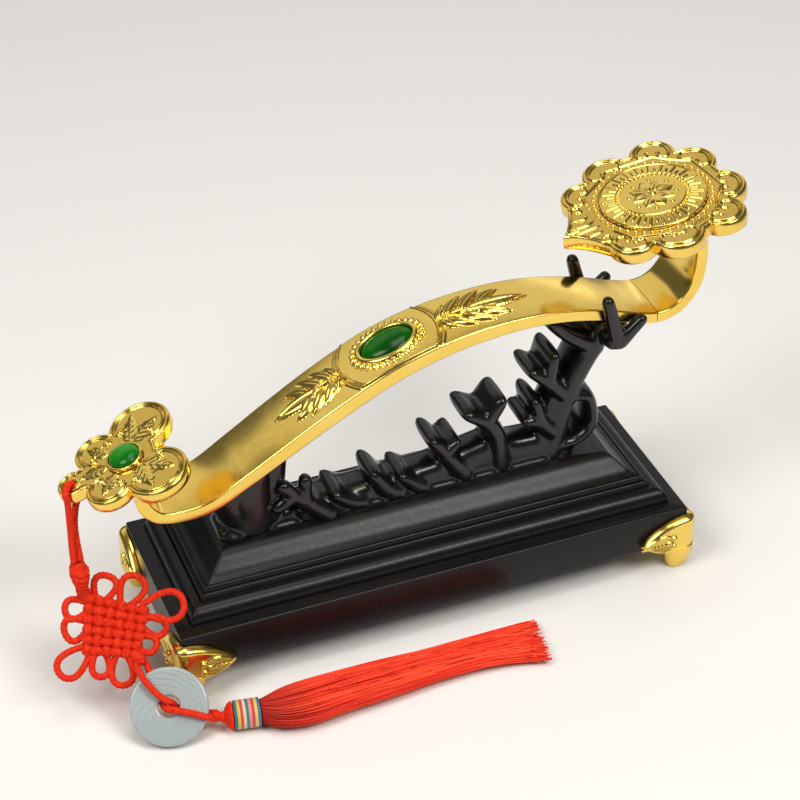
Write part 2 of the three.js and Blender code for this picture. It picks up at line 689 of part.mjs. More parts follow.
function rack() {
  const lines = [trunk, crownLeft, crownRight, sideLoop, ...ridges, ...stump];
  const limbs = lines.flatMap((line) => limb(line));
  limbs.push(...limb(wallLine, wallHalfDepth));
  for (const { stem, tips } of forks) {
    limbs.push(...limb(stem));
    for (const tip of tips) limbs.push(link(stem[stem.length - 1], tip, limbHalfDepth));
  }
  const [crossX, crossZ, crossRadius] = crossLimb;
  const yoke = [[crossX - 1, crossZ, crossRadius], [crossX + 1, crossZ, crossRadius]];
  limbs.push(...limb(yoke, prongReach + prongThickness / 2));
  for (const side of [-1, 1]) {
    const pair = prongs.flatMap((prong) => limb(prong, prongThickness / 2));
    limbs.push(...pair.map((one) => one.translate(0, side * prongReach, 0)));
  }
  const bed = new THREE.BoxGeometry(plinthLength, plinthWidth, 20).translate(0, 0, deckTop - 10);
  const boreTop = deckTop + rackScrewBite + 2 * boreGap;
  const bore = rackScrewRadius + boreGap;
  const bores = rackScrewPlaces.map((x) => rod(bore, deckTop - 1, boreTop).translate(x, 0, 0));
  return geometryOf(without(join(limbs), [bed, ...bores, handleStrip(seatGap), neckStrip(seatGap)]));
}

// Pendant
const knotFrame = facing(knotAzimuth, knotElevation).setPosition(...knotPlace);
const ringFrame = facing(ringAzimuth, ringElevation).setPosition(...ringPlace);
const tasselFrame = new THREE.Matrix4().makeRotationZ(tasselYaw * degrees).setPosition(...tasselPlace);
const alongFloor = new THREE.Matrix4().makeRotationY(Math.PI / 2);
const vectors = (points) => points.map(([x, y, z]) => new THREE.Vector3(x, y, z));

function hangingCord() {
  return tube(vectors(loopRoute), cordRadius, cordSides, 36);
}

function topKnot() {
  const half = topKnotLength / 2;
  const profile = [
    [0, -half], [topKnotRadius * 0.6, -half], [topKnotRadius, -half * 0.5], [topKnotRadius * 0.82, 0],
    [topKnotRadius, half * 0.5], [topKnotRadius * 0.6, half], [0, half],
  ];
  return turned(profile, 14).rotateX(-topKnotLean * degrees).translate(...topKnotPlace);
}

// One ear: a drop-shaped loop of cord that leaves the woven panel and comes back beside itself
function ear([baseX, baseY, direction, length, width]) {
  const turn = direction * degrees;
  const points = [];
  for (let i = 0; i <= earSteps; i += 1) {
    const share = i / earSteps;
    const out = length * Math.sin(Math.PI * share) - cordRadius;
    const aside = (width / 2) * Math.sin(2 * Math.PI * share) + earBaseGap * (0.5 - share);
    const x = baseX + out * Math.cos(turn) - aside * Math.sin(turn);
    const y = baseY + out * Math.sin(turn) + aside * Math.cos(turn);
    points.push(new THREE.Vector3(x, y, 0));
  }
  return tube(points, cordRadius, earSides, earSteps);
}

function mysticKnot() {
  const panel = prism(knotCorners, -knotThickness / 2, knotThickness / 2);
  return geometryOf(join([panel, ...ears.map(ear)])).applyMatrix4(knotFrame);
}

function jadeRing() {
  const half = ringThickness / 2;
  const edge = half - ringEdgeRound;
  const inner = ringHole + ringEdgeRound;
  const outer = ringRadius - ringEdgeRound;
  const profile = [
    [ringHole, -edge], [inner, -half], [outer, -half], [ringRadius, -edge],
    [ringRadius, edge], [outer, half], [inner, half], [ringHole, edge], [ringHole, -edge],
  ];
  return turned(profile, 40).applyMatrix4(ringFrame);
}

function strand(route) {
  return tube(vectors(route), cordRadius, cordSides, 30).applyMatrix4(ringFrame);
}

// The cap starts with a small ball knot, which the tassel turns about, and flares to the band
function tasselCap() {
  const profile = [];
  for (let i = 0; i <= 4; i += 1) {
    const turn = (i / 4) * 110 * degrees;
    profile.push([capBallRadius * Math.sin(turn), -capBallRadius * Math.cos(turn)]);
  }
  profile.push([capRadius * 0.6, capLength * 0.38], [capRadius * 0.92, capLength * 0.72]);
  profile.push([capRadius, capLength], [0, capLength]);
  return turned(profile, 20).applyMatrix4(alongFloor).applyMatrix4(tasselFrame);
}

const bandStart = capLength + seatGap;
const bandEnd = bandStart + bandLength;

function tasselNeck() {
  const profile = [[0, bandStart], [neckRadius, bandStart], [neckRadius, bandEnd], [0, bandEnd]];
  return turned(profile, 20).applyMatrix4(alongFloor).applyMatrix4(tasselFrame);
}

// Thread wound round the tassel's neck, one turn for each stripe
function bandLine() {
  const radius = neckRadius + seatGap + bandThread;
  const pitch = (bandLength - 2 * bandThread) / bandTurns;
  const count = bandTurns * bandSteps;
  return Array.from({ length: count + 1 }, (_, i) => {
    const turn = (i / bandSteps) * 2 * Math.PI;
    const along = bandStart + bandThread + (pitch * i) / bandSteps;
    return new THREE.Vector3(radius * Math.cos(turn), radius * Math.sin(turn), along);
  });
}

function tasselBand() {
  const line = bandLine();
  const rings = line.map((point, i) => {
    const ahead = line[Math.min(i + 1, line.length - 1)].clone().sub(line[Math.max(i - 1, 0)]).normalize();
    const outward = new THREE.Vector3(point.x, point.y, 0).normalize();
    const side = new THREE.Vector3().crossVectors(ahead, outward);
    return ellipse(bandThread, bandThread, bandSides).map(([u, v]) => {
      return point.clone().addScaledVector(outward, u).addScaledVector(side, v);
    });
  });
  return loft(rings).applyMatrix4(alongFloor).applyMatrix4(tasselFrame);
}

function bandGap() {
  const line = bandLine();
  let least = Infinity;
  for (let i = 0; i < line.length; i += 1) {
    for (let j = i + bandSteps / 2; j < line.length; j += 1) {
      least = Math.min(least, line[i].distanceTo(line[j]));
    }
  }
  return least - 2 * bandThread;
}

// The skirt of threads leaves the neck, lies along the floor and spreads at its free end
function tasselSkirt() {
  const sides = 12;
  const root = new THREE.Vector3(bandEnd + seatGap, 0, 0).applyMatrix4(tasselFrame);
  const rootWidth = 2 * neckRadius;
  const sections = [[root.x, root.y, rootWidth, rootWidth], ...skirtLine];
  const route = new THREE.CatmullRomCurve3(sections.map(([x, y]) => new THREE.Vector3(x, y, 0)));
  const rings = sections.map(([x, y, width, height], i) => {
    const heading = route.getTangent(i / (sections.length - 1));
    const turn = i === 0 ? tasselYaw * degrees : Math.atan2(heading.y, heading.x);
    const aside = new THREE.Vector3(-Math.sin(turn), Math.cos(turn), 0);
    return ellipse(width / 2, height / 2, sides).map(([u, v]) => {
      return new THREE.Vector3(x, y, skirtGap + height / 2 + v).addScaledVector(aside, u);
    });
  });
  return loft(rings);
}

const stand = new THREE.Group();
stand.add(piece('plinth', plinth(), satinBlack));
stand.add(piece('moulding', moulding(), satinBlack));
stand.add(piece('branch_rack', rack(), glossBlack));
['left', 'right'].forEach((side, i) => {
  stand.add(piece(`rack_screw_${side}`, rackScrew(rackScrewPlaces[i]), steel));
});
const corners = [['front_left', -1, -1], ['front_right', 1, -1], ['back_right', 1, 1], ['back_left', -1, 1]];
corners.forEach(([name, sx, sy], quarter) => {
  const corner = new THREE.Group();
  corner.position.set((sx * plinthLength) / 2, (sy * plinthWidth) / 2, 0);
  corner.rotation.z = (quarter * Math.PI) / 2;
  corner.add(piece(`foot_${name}`, foot(), gold));
  corner.add(piece(`foot_screw_${name}`, footScrew(), steel));
  stand.add(corner);
});

const sceptre = new THREE.Group();
sceptre.add(piece('handle', handle(), gold));
sceptre.add(piece('neck', neck(), gold));
sceptre.add(piece('head_plate', headPlate(), gold));
sceptre.add(piece('head_medallion', headMedallion(), gold));
sceptre.add(piece('head_screw', plateScrew(headFrame, headScrewAlong, headThickness), steel));
sceptre.add(piece('tail_plate', tailPlate(), gold));
sceptre.add(piece('tail_screw', plateScrew(tailFrame, tailScrewAlong, tailThickness), steel));
sceptre.add(piece('tail_bezel', tailBezel(), gold));
sceptre.add(piece('tail_stone', stone(tailStoneRadius, tailStoneHeight).applyMatrix4(tailFrame), greenStone));
sceptre.add(piece('grip_bezel', gripBezel(), gold));
sceptre.add(piece('grip_stone', gripStone(), greenStone));

const pendant = new THREE.Group();
pendant.add(piece('hanging_cord', hangingCord(), redCord));
pendant.add(piece('top_knot', topKnot(), redCord));
pendant.add(piece('mystic_knot', mysticKnot(), redCord));
pendant.add(piece('front_strand', strand(frontStrand), redCord));
pendant.add(piece('back_strand', strand(backStrand), redCord));
pendant.add(piece('jade_ring', jadeRing(), paleJade));
pendant.add(piece('tassel_cap', tasselCap(), redCord));
pendant.add(piece('tassel_neck', tasselNeck(), redCord));
pendant.add(piece('tassel_band', tasselBand(), stripedThread));
pendant.add(piece('tassel_skirt', tasselSkirt(), redCord));
console.log(`tassel band: least gap between turns ${bandGap().toFixed(2)} mm`);

// The stand and sceptre together are centred on the origin, front to back and end to end
const ruyi = new THREE.Group();
ruyi.add(stand, sceptre);
const middle = new THREE.Box3().setFromObject(ruyi, true).getCenter(new THREE.Vector3());
ruyi.add(pendant);
ruyi.position.set(-middle.x, -middle.y, 0);

export default ruyi;
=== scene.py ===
import math

import bmesh
import bpy
import numpy as np
from mathutils import Matrix, Quaternion, Vector


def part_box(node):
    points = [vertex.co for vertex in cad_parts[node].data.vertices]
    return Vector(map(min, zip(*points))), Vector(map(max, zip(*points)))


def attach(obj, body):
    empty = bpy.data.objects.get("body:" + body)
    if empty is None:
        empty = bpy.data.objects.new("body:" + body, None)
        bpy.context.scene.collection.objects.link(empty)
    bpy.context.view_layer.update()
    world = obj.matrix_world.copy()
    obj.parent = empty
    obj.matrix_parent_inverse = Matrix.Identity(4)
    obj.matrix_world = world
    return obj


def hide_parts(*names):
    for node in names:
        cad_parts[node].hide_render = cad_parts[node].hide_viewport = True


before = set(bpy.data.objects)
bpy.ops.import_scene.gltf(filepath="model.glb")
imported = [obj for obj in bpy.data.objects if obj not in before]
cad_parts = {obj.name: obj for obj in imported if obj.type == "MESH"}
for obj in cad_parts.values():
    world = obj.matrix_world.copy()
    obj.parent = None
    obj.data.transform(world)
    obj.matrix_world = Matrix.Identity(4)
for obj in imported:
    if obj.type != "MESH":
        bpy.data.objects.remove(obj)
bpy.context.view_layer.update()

# Shapes are worked out in millimetres from the middle of the plinth, then set in the frame in metres
mm = 0.001
plinthLow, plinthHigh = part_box("plinth")
plinthMiddle = np.array([(plinthLow.x + plinthHigh.x) / 2, 0.0, 0.0])
plinthHalfLength = (plinthHigh.x - plinthLow.x) / 2 / mm
plinthHalfWidth = (plinthHigh.y - plinthLow.y) / 2 / mm
plinthBottom = plinthLow.z / mm
plinthTop = plinthHigh.z / mm
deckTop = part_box("moulding")[1].z / mm
seatGap = 0.3


# Lines and shells

def goneAlong(line):  # how far along the line each point lies
    return np.concatenate([[0], np.cumsum(np.linalg.norm(np.diff(line, axis=0), axis=1))])


def evenLine(line, count):
    gone = goneAlong(line)
    marks = np.linspace(0, gone[-1], count)
    return np.column_stack([np.interp(marks, gone, column) for column in line.T])


def smoothLine(points, count):  # passes through every point, in even steps
    points = np.asarray(points, dtype=float)
    chain = np.vstack([2 * points[0] - points[1], points, 2 * points[-1] - points[-2]])
    share = np.linspace(0, 1, 24, endpoint=False)[:, None]
    spans = []
    for a, b, c, d in zip(chain, chain[1:], chain[2:], chain[3:]):
        ab, bc, cd = [np.linalg.norm(end - start) ** 0.5 for start, end in ((a, b), (b, c), (c, d))]
        leave = ((b - a) / ab - (c - a) / (ab + bc) + (c - b) / bc) * bc
        arrive = ((c - b) / bc - (d - b) / (bc + cd) + (d - c) / cd) * bc
        square = 3 * (c - b) - 2 * leave - arrive
        cube = 2 * (b - c) + leave + arrive
        spans.append(b + leave * share + square * share**2 + cube * share**3)
    return evenLine(np.vstack(spans + [points[-1:]]), count)


def bend(start, pull, end, share):  # a curve from start to end, drawn towards pull
    return start * (1 - share) ** 2 + 2 * pull * share * (1 - share) + end * share**2


def unit(angle):  # a step of one at this angle
    return np.array([math.cos(angle), math.sin(angle)])


def lineLength(line):
    return float(np.linalg.norm(np.diff(line, axis=0), axis=1).sum())


def sidesAlong(line):  # two directions square to the line at each point, without twist
    ahead = np.gradient(line, axis=0)
    ahead /= np.linalg.norm(ahead, axis=1)[:, None]
    side = np.zeros_like(line)
    first = np.cross(ahead[0], [0, 0, 1] if abs(ahead[0][2]) < 0.9 else [1, 0, 0])
    side[0] = first / np.linalg.norm(first)
    for i in range(1, len(line)):
        kept = side[i - 1] - ahead[i] * np.dot(side[i - 1], ahead[i])
        side[i] = kept / np.linalg.norm(kept)
    return side, np.cross(ahead, side)


def closedLoft(rings):  # skin through rings of equal counts, closed at both ends
    rings = np.asarray(rings, dtype=float)
    rows, columns = rings.shape[:2]
    points = np.vstack([rings.reshape(-1, 3), rings[0].mean(0), rings[-1].mean(0)])
    last = (rows - 1) * columns
    faces = []
    for row in range(0, last, columns):
        for column in range(columns):
            a, b = row + column, row + (column + 1) % columns
            faces.append((a, b, b + columns, a + columns))
    for column in range(columns):
        beside = (column + 1) % columns
        faces.append((beside, column, rows * columns))
        faces.append((last + column, last + beside, rows * columns + 1))
    return points, faces


def fullTurn(sides):
    return np.linspace(0, 2 * np.pi, sides, endpoint=False)


def ovalRing(turn, halfLength, halfWidth, height):
    return np.column_stack([halfLength * np.cos(turn), halfWidth * np.sin(turn), np.full(len(turn), height)])


def ovalBand(halfLength, halfWidth, section, sides=160):  # a closed section of [out, height] round an oval
    turn = fullTurn(sides)
    rows = [ovalRing(turn, halfLength + out, halfWidth + out, height) for out, height in section]
    faces = []
    for row in range(len(rows)):
        below = (row + 1) % len(rows) * sides
        for column in range(sides):
            beside = (column + 1) % sides
            faces.append((row * sides + column, row * sides + beside, below + beside, below + column))
    return np.vstack(rows), faces


def turnedShell(profile, sides, flute=0, fluteCount=0):  # [radius, height] pairs about +Z
    turn = fullTurn(sides)
    wave = 1 + flute * np.cos(fluteCount * turn)
    rings = []
    for radius, height in profile:
        reach = max(radius, 0.01) * wave
        rings.append(ovalRing(turn, reach, reach, height))
    return closedLoft(rings)


def cordShell(line, radius, sides=16, plait=None):
    side, over = sidesAlong(line)
    turn = fullTurn(sides)
    gone = goneAlong(line)
    reach = np.tile(np.broadcast_to(radius, len(line))[:, None], (1, sides)).astype(float)
    if plait:
        around = plait["strands"] * turn[None, :]
        forward = np.pi * gone[:, None] / plait["pitch"]
        lumps = np.sqrt(np.abs(np.cos(around + forward) * np.cos(around - forward)))
        reach *= 1 + plait["lift"] * (lumps - 0.6)
    spokes = np.cos(turn)[None, :, None] * side[:, None, :]
    spokes += np.sin(turn)[None, :, None] * over[:, None, :]
    return closedLoft(line[:, None, :] + reach[..., None] * spokes)


def placed(points, matrix):
    return np.asarray(points, dtype=float) @ matrix[:3, :3].T + matrix[:3, 3]


def shift(x, y, z):
    matrix = np.eye(4)
    matrix[:3, 3] = (x, y, z)
    return matrix


def makeMesh(name, shells, place=None, crease=38, hollowShade=None):
    points, faces, start = [], [], 0
    for shellPoints, shellFaces in shells:
        points.append(np.asarray(shellPoints, dtype=float))
        faces += [tuple(corner + start for corner in face) for face in shellFaces]
        start += len(shellPoints)
    points = np.vstack(points)
    if place is not None:
        points = placed(points, place)
    mesh = bpy.data.meshes.new(name)
    mesh.from_pydata((points * mm + plinthMiddle).tolist(), [], faces)
    work = bmesh.new()
    work.from_mesh(mesh)
    bmesh.ops.recalc_face_normals(work, faces=work.faces)
    work.to_mesh(mesh)
    work.free()
    mesh.shade_smooth()
    mesh.set_sharp_from_angle(angle=math.radians(crease))
    # the hollowShade share of painted shade, kept on each point
    if hollowShade is not None:
        layer = mesh.attributes.new("hollowShade", "FLOAT", "POINT")
        layer.data.foreach_set("value", np.resize(hollowShade, len(points)).astype(np.float32))
    return mesh


def addPiece(name, mesh, finish, body, nodes=()):
    piece = bpy.data.objects.new(name, mesh)
    bpy.context.scene.collection.objects.link(piece)
    if finish:
        mesh.materials.clear()
        mesh.materials.append(finish)
    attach(piece, body)
    if nodes:
        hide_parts(*nodes)
    return piece


def makePiece(name, shells, finish, body, nodes=(), place=None, crease=38, hollowShade=None):
    return addPiece(name, makeMesh(name, shells, place, crease, hollowShade), finish, body, nodes)


def bakeModifiers(holder):  # the plain mesh that an object's modifiers give
    bpy.context.view_layer.update()
    solid = holder.evaluated_get(bpy.context.evaluated_depsgraph_get())
    mesh = bpy.data.meshes.new_from_object(solid)
    bpy.data.objects.remove(holder)
    return mesh


def cutAway(holder, cutters, solver):  # the holder's mesh without what the cutters cover
    for helper in (holder, *cutters):
        bpy.context.scene.collection.objects.link(helper)
    for cutter in cutters:
        cut = holder.modifiers.new(cutter.name, "BOOLEAN")
        cut.object = cutter
        cut.operation = "DIFFERENCE"
        cut.solver = solver
    mesh = bakeModifiers(holder)
    for cutter in cutters:
        bpy.data.objects.remove(cutter)
    return mesh


def frameMatrix(place):  # a place in millimetres, as Blender's matrix in metres
    matrix = Matrix(place.tolist())
    matrix.translation = Vector(place[:3, 3] * mm + plinthMiddle)
    return matrix


# Geometry Nodes helpers

def newTree(name, inputs):
    tree = bpy.data.node_groups.new(name, "GeometryNodeTree")
    tree.interface.new_socket("Geometry", in_out="INPUT", socket_type="NodeSocketGeometry")
    for label, kind in inputs:
        tree.interface.new_socket(label, in_out="INPUT", socket_type="NodeSocket" + kind)
    tree.interface.new_socket("Geometry", in_out="OUTPUT", socket_type="NodeSocketGeometry")
    return tree, tree.nodes.new("NodeGroupInput").outputs, tree.nodes.new("NodeGroupOutput").inputs


def addNode(tree, kind, links, **settings):
    node = tree.nodes.new(kind)
    for key, value in settings.items():
        setattr(node, key, value)
    for socket, source in links.items():
        if isinstance(source, bpy.types.NodeSocket):
            tree.links.new(source, node.inputs[socket])
        else:
            node.inputs[socket].default_value = source
    return node


def storeValue(tree, geometry, label, value):  # keeps a number on each point
    links = {"Geometry": geometry, "Name": label, "Value": value}
    store = addNode(tree, "GeometryNodeStoreNamedAttribute", links, data_type="FLOAT", domain="POINT")
    return store.outputs[0]


def tubeAlong(tree, curve, radius, sides):
    section = addNode(tree, "GeometryNodeCurvePrimitiveCircle", {"Resolution": sides, "Radius": radius})
    links = {"Curve": curve, "Profile Curve": section.outputs[0], "Fill Caps": True}
    return addNode(tree, "GeometryNodeCurveToMesh", links).outputs[0]


def finishTree(tree, outgoing, geometry, material):
    realized = addNode(tree, "GeometryNodeRealizeInstances", {"Geometry": geometry})
    smooth = addNode(tree, "GeometryNodeSetShadeSmooth", {0: realized.outputs[0]})
    links = {"Geometry": smooth.outputs[0], "Material": material}
    coloured = addNode(tree, "GeometryNodeSetMaterial", links)
    tree.links.new(coloured.outputs[0], outgoing["Geometry"])


def growMesh(name, tree, values, base=None, place=None):
    holder = bpy.data.objects.new(name + "Base", base or bpy.data.meshes.new(name + "Base"))
    bpy.context.scene.collection.objects.link(holder)
    grower = holder.modifiers.new("grow", "NODES")
    grower.node_group = tree
    for item in tree.interface.items_tree:
        if item.in_out == "INPUT" and item.name in values:
            grower[item.identifier] = values[item.name]
    mesh = bakeModifiers(holder)
    mesh.name = name
    if place is not None:
        mesh.transform(frameMatrix(place))
    return mesh


# Finishes

def linear(red, green, blue):  # screen colour, 0 to 255, as the shader's own numbers
    shares = [value / 255 for value in (red, green, blue)]
    return [s / 12.92 if s <= 0.04045 else ((s + 0.055) / 1.055) ** 2.4 for s in shares] + [1]


class Finish:
    def __init__(self, name, **sockets):
        self.material = bpy.data.materials.new(name)
        self.material.use_nodes = True
        self.tree = self.material.node_tree
        self.shader = self.tree.nodes["Principled BSDF"]
        for label, value in sockets.items():
            self.shader.inputs[label.replace("_", " ")].default_value = value
        self.coordinates = self.tree.nodes.new("ShaderNodeTexCoord").outputs["Object"]

    def node(self, kind, links, **settings):
        return addNode(self.tree, kind, links, **settings).outputs

    def feed(self, label, source):
        self.tree.links.new(source, self.shader.inputs[label])

    def noise(self, scale, detail=3.0, stretch=None):
        place = self.coordinates
        if stretch:
            place = self.node("ShaderNodeMapping", {"Vector": place, "Scale": stretch})[0]
        return self.node("ShaderNodeTexNoise", {"Vector": place, "Scale": scale, "Detail": detail})[0]

    def between(self, source, low, high, start=0.3, end=0.7):
        spread = {"Value": source, "From Min": start, "From Max": end, "To Min": low, "To Max": high}
        return self.node("ShaderNodeMapRange", spread)[0]

    def ramp(self, source, colours, blend="LINEAR"):
        node = self.tree.nodes.new("ShaderNodeValToRGB")
        node.color_ramp.interpolation = blend
        self.tree.links.new(source, node.inputs[0])
        stops = node.color_ramp.elements
        while len(stops) < len(colours):
            stops.new(0.5)
        for stop, (position, colour) in zip(stops, colours):
            stop.position = position
            stop.color = colour
        return node.outputs[0]

    def mix(self, share, first, second):
        node = self.tree.nodes.new("ShaderNodeMix")
        node.data_type = "RGBA"
        for socket, value in ((node.inputs[0], share), (node.inputs[6], first), (node.inputs[7], second)):
            if isinstance(value, bpy.types.NodeSocket):
                self.tree.links.new(value, socket)
            else:
                socket.default_value = value
        return node.outputs[2]

    def bump(self, height, depth, strength=1.0):
        given = {"Height": height, "Distance": depth, "Strength": strength}
        self.feed("Normal", self.node("ShaderNodeBump", given)["Normal"])

    def attribute(self, name):
        return self.node("ShaderNodeAttribute", {}, attribute_name=name)


def giltFinish(name, dull, clear, shaded):
    finish = Finish(name, Metallic=1.0)
    cloud = finish.noise(60, 2)
    bright = finish.mix(finish.between(cloud, 0, 1), linear(*dull), linear(*clear))
    # painted shade: the sunk ground of the relief is mixed towards the darker shaded gilt, by the
    # hollowShade share on each point
    hollowShade = finish.attribute("hollowShade")["Fac"]
    finish.feed("Base Color", finish.mix(hollowShade, bright, linear(*shaded)))
    finish.feed("Roughness", finish.between(finish.noise(420, 4), 0.15, 0.21))
    finish.bump(finish.noise(700, 2), 0.00002, 0.1)
    return finish.material


def lacquerFinish(name, colour, gleam, roughLow, roughHigh, peel):
    finish = Finish(name, Specular_IOR_Level=gleam)
    shade = finish.between(finish.noise(140, 3), 0.0, 1.0)
    finish.feed("Base Color", finish.mix(shade, colour, [part * 1.25 for part in colour[:3]] + [1]))
    finish.feed("Roughness", finish.between(finish.noise(700, 4), roughLow, roughHigh))
    finish.bump(finish.noise(1600, 2), peel, 0.3)
    return finish.material


def stoneFinish(name, deep, body, light):
    finish = Finish(name, Roughness=0.2, Coat_Weight=0.08, Coat_Roughness=0.05, Specular_IOR_Level=0.22)
    # painted light: each stone's green grows lighter towards the back, where the lamps fall; deep, body and
    # light run from shaded to lit
    across = finish.node("ShaderNodeSeparateXYZ", {"Vector": finish.coordinates})[1]
    litTowardsBack = finish.between(across, 0.2, 0.8, -0.0055, 0.0055)
    swirl = finish.between(finish.noise(110, 3), -0.12, 0.12)
    depth = finish.node("ShaderNodeMath", {0: litTowardsBack, 1: swirl}, operation="ADD")[0]
    colours = [(0.2, linear(*deep)), (0.5, linear(*body)), (0.85, linear(*light))]
    finish.feed("Base Color", finish.ramp(depth, colours))
    return finish.material


def jadeFinish():
    finish = Finish(
        "paleJade", Roughness=0.16, Coat_Weight=0.4, Coat_Roughness=0.05, Subsurface_Weight=0.25,
        Subsurface_Radius=(0.004, 0.004, 0.004),
    )
    middle = np.array(ringPlace["centre"]) * mm + plinthMiddle + np.array(ringPlace["bandShift"])
    shifted = {"Vector": finish.coordinates, "Location": (-middle).tolist()}
    centred = finish.node("ShaderNodeMapping", shifted)[0]
    bands = {"Vector": centred, "Scale": 170.0, "Distortion": 4.5, "Detail": 2.0, "Detail Scale": 1.0}
    wave = finish.node("ShaderNodeTexWave", bands, wave_type="RINGS", rings_direction="SPHERICAL")[1]
    height = finish.node("ShaderNodeSeparateXYZ", {"Vector": centred})[2]
    upper = finish.between(height, 0.1, 1, 0.003, 0.012)
    strength = finish.node("ShaderNodeMath", {0: wave, 1: upper}, operation="MULTIPLY")[0]
    colours = [(0.0, linear(166, 178, 178)), (0.5, linear(178, 188, 187)), (1.0, linear(156, 167, 166))]
    finish.feed("Base Color", finish.ramp(strength, colours))
    return finish.material


def cordFinish(name, dark, bright, fuzz):
    finish = Finish(
        name, Roughness=0.65, Specular_IOR_Level=0.2, Sheen_Weight=fuzz, Sheen_Roughness=0.4,
        Sheen_Tint=(1, 0.45, 0.3, 1),
    )
    shade = finish.between(finish.noise(900, 4), 0, 1)
    finish.feed("Base Color", finish.mix(shade, dark, bright))
    finish.bump(finish.noise(3200, 3), 0.0001, 0.5)
    return finish.material


def threadFinish():
    finish = Finish(
        "redThread", Roughness=0.5, Specular_IOR_Level=0.3, Sheen_Weight=0.1, Sheen_Roughness=0.35,
        Sheen_Tint=(1, 0.5, 0.35, 1),
    )
    shade = finish.attribute("shade")["Fac"]
    colours = [(0.0, linear(212, 28, 8)), (0.5, linear(244, 54, 20)), (1.0, linear(254, 92, 48))]
    lit = finish.ramp(shade, colours)
    # painted shade: near the band the threads are mixed towards a dark red, by the root share
    finish.feed("Base Color", finish.mix(finish.attribute("root")["Fac"], lit, linear(150, 14, 4)))
    finish.bump(finish.noise(2600, 3), 0.00008, 0.4)
    return finish.material


def stripeFinish(stripes):
    finish = Finish("stripedThread", Roughness=0.5, Sheen_Weight=0.25)
    colours = [(i / len(stripes), linear(*stripe)) for i, stripe in enumerate(stripes)]
    finish.feed("Base Color", finish.ramp(finish.attribute("wound")["Fac"], colours, "CONSTANT"))
    finish.bump(finish.noise(3000, 2), 0.00006, 0.4)
    return finish.material


def steelFinish():
    finish = Finish("plainSteel", Metallic=1.0, Base_Color=linear(168, 168, 166))
    finish.feed("Roughness", finish.between(finish.noise(700, 4, (1, 1, 12)), 0.25, 0.42))
    return finish.material


ringPlace = {
    "centre": (-109.6, -48.5, 11), "azimuth": -14.7, "elevation": 45.3,
    "bandShift": (-0.004, 0, -0.006),  # from the ring's centre to the middle of the stone's bands, in metres
}
tasselBand = {
    "stripes": [
        (36, 118, 130), (222, 196, 70), (214, 70, 60), (232, 206, 204), (70, 132, 96),
        (226, 150, 160), (212, 66, 56), (230, 206, 96), (70, 120, 160),
    ],
    "turnsPerStripe": 3, "thread": 0.19,
}

# the gilt's third colour is painted shade, laid on the sunk ground of the head and tail plates
gilt = giltFinish("gilt", (240, 204, 96), (246, 212, 110), (188, 150, 62))
# painted highlight: a paler copy of the gilt for every bead ring, standing in for the beads' pale highlights
beadHighlightGilt = giltFinish("beadHighlightGilt", (246, 218, 128), (250, 224, 140), (202, 168, 84))
satinBlack = lacquerFinish("satinBlack", linear(16, 14, 15), 0.24, 0.27, 0.34, 0.00004)
glossBlack = lacquerFinish("glossBlack", linear(15, 15, 17), 0.5, 0.2, 0.25, 0.000006)
# the tail stone's greens are lighter than the grip stone's: painted light for the lamp reflected in it
gripGreen = stoneFinish("gripGreen", (0, 58, 0), (6, 88, 0), (46, 124, 24))
tailGreen = stoneFinish("tailGreen", (2, 84, 4), (24, 128, 22), (92, 172, 80))
paleJade = jadeFinish()
redCord = cordFinish("redCord", linear(206, 28, 5), linear(240, 58, 20), 0.06)
# painted shade: a darker red for the neck under the band and the core inside the threads, standing in for
# the shade among the threads
shadedCoreRed = cordFinish("shadedCoreRed", linear(150, 14, 6), linear(176, 22, 10), 0.05)
redThread = threadFinish()
stripedThread = stripeFinish(tasselBand["stripes"])
plainSteel = steelFinish()
print("finishes made")


# Camera, floor and lights

view = {
    "target": (-0.0014, 0, 0.0821), "azimuth": -21.75, "elevation": 36.55, "distance": 0.8016,
    "lens": 99.72, "sensor": 36, "nearest": 0.01,
}


def setCamera():
    turn, rise = math.radians(view["azimuth"]), math.radians(view["elevation"])
    back = Vector((math.sin(turn) * math.cos(rise), -math.cos(turn) * math.cos(rise), math.sin(rise)))
    lens = bpy.data.cameras.new("camera")
    lens.lens = view["lens"]
    lens.sensor_width = view["sensor"]
    lens.clip_start = view["nearest"]
    camera = bpy.data.objects.new("camera", lens)
    camera.location = Vector(view["target"]) + back * view["distance"]
    camera.rotation_euler = back.to_track_quat("Z", "Y").to_euler()
    bpy.context.scene.collection.objects.link(camera)
    bpy.context.scene.camera = camera


studio = {
    "floor": (238, 237, 235), "floorSize": 6.0, "world": (150, 152, 156), "worldStrength": 0.4,
    "lamps": [  # place, width, height, roll, power, colour
        ((0.12, 1.0, 0.86), 2.0, 0.62, 12, 2.6, (255, 252, 248)),
        ((0.05, 0.0, 1.4), 0.8, 0.6, 0, 6.0, (255, 252, 248)),
        ((0.34, -0.62, 0.86), 0.45, 0.36, 0, 5.8, (255, 251, 245)),
        ((-0.7, -0.25, 0.95), 0.5, 0.5, 0, 6.2, (255, 251, 245)),
        ((0.8, 0.8, 0.35), 0.6, 0.28, 0, 0.38, (255, 252, 248)),
    ],
}


def setFloor():
    floorMesh = bpy.data.meshes.new("floor")
    half = studio["floorSize"] / 2
    corners = [(-half, -half, 0), (half, -half, 0), (half, half, 0), (-half, half, 0)]
    floorMesh.from_pydata(corners, [], [(0, 1, 2, 3)])
    floor = bpy.data.objects.new("floor", floorMesh)
    paper = Finish("floorPaper", Roughness=0.85, Base_Color=linear(*studio["floor"]))
    floorMesh.materials.append(paper.material)
    bpy.context.scene.collection.objects.link(floor)


def setWorld():
    world = bpy.data.worlds.new("studio")
    world.use_nodes = True
    backdrop = world.node_tree.nodes["Background"]
    backdrop.inputs["Color"].default_value = linear(*studio["world"])
    backdrop.inputs["Strength"].default_value = studio["worldStrength"]
    bpy.context.scene.world = world


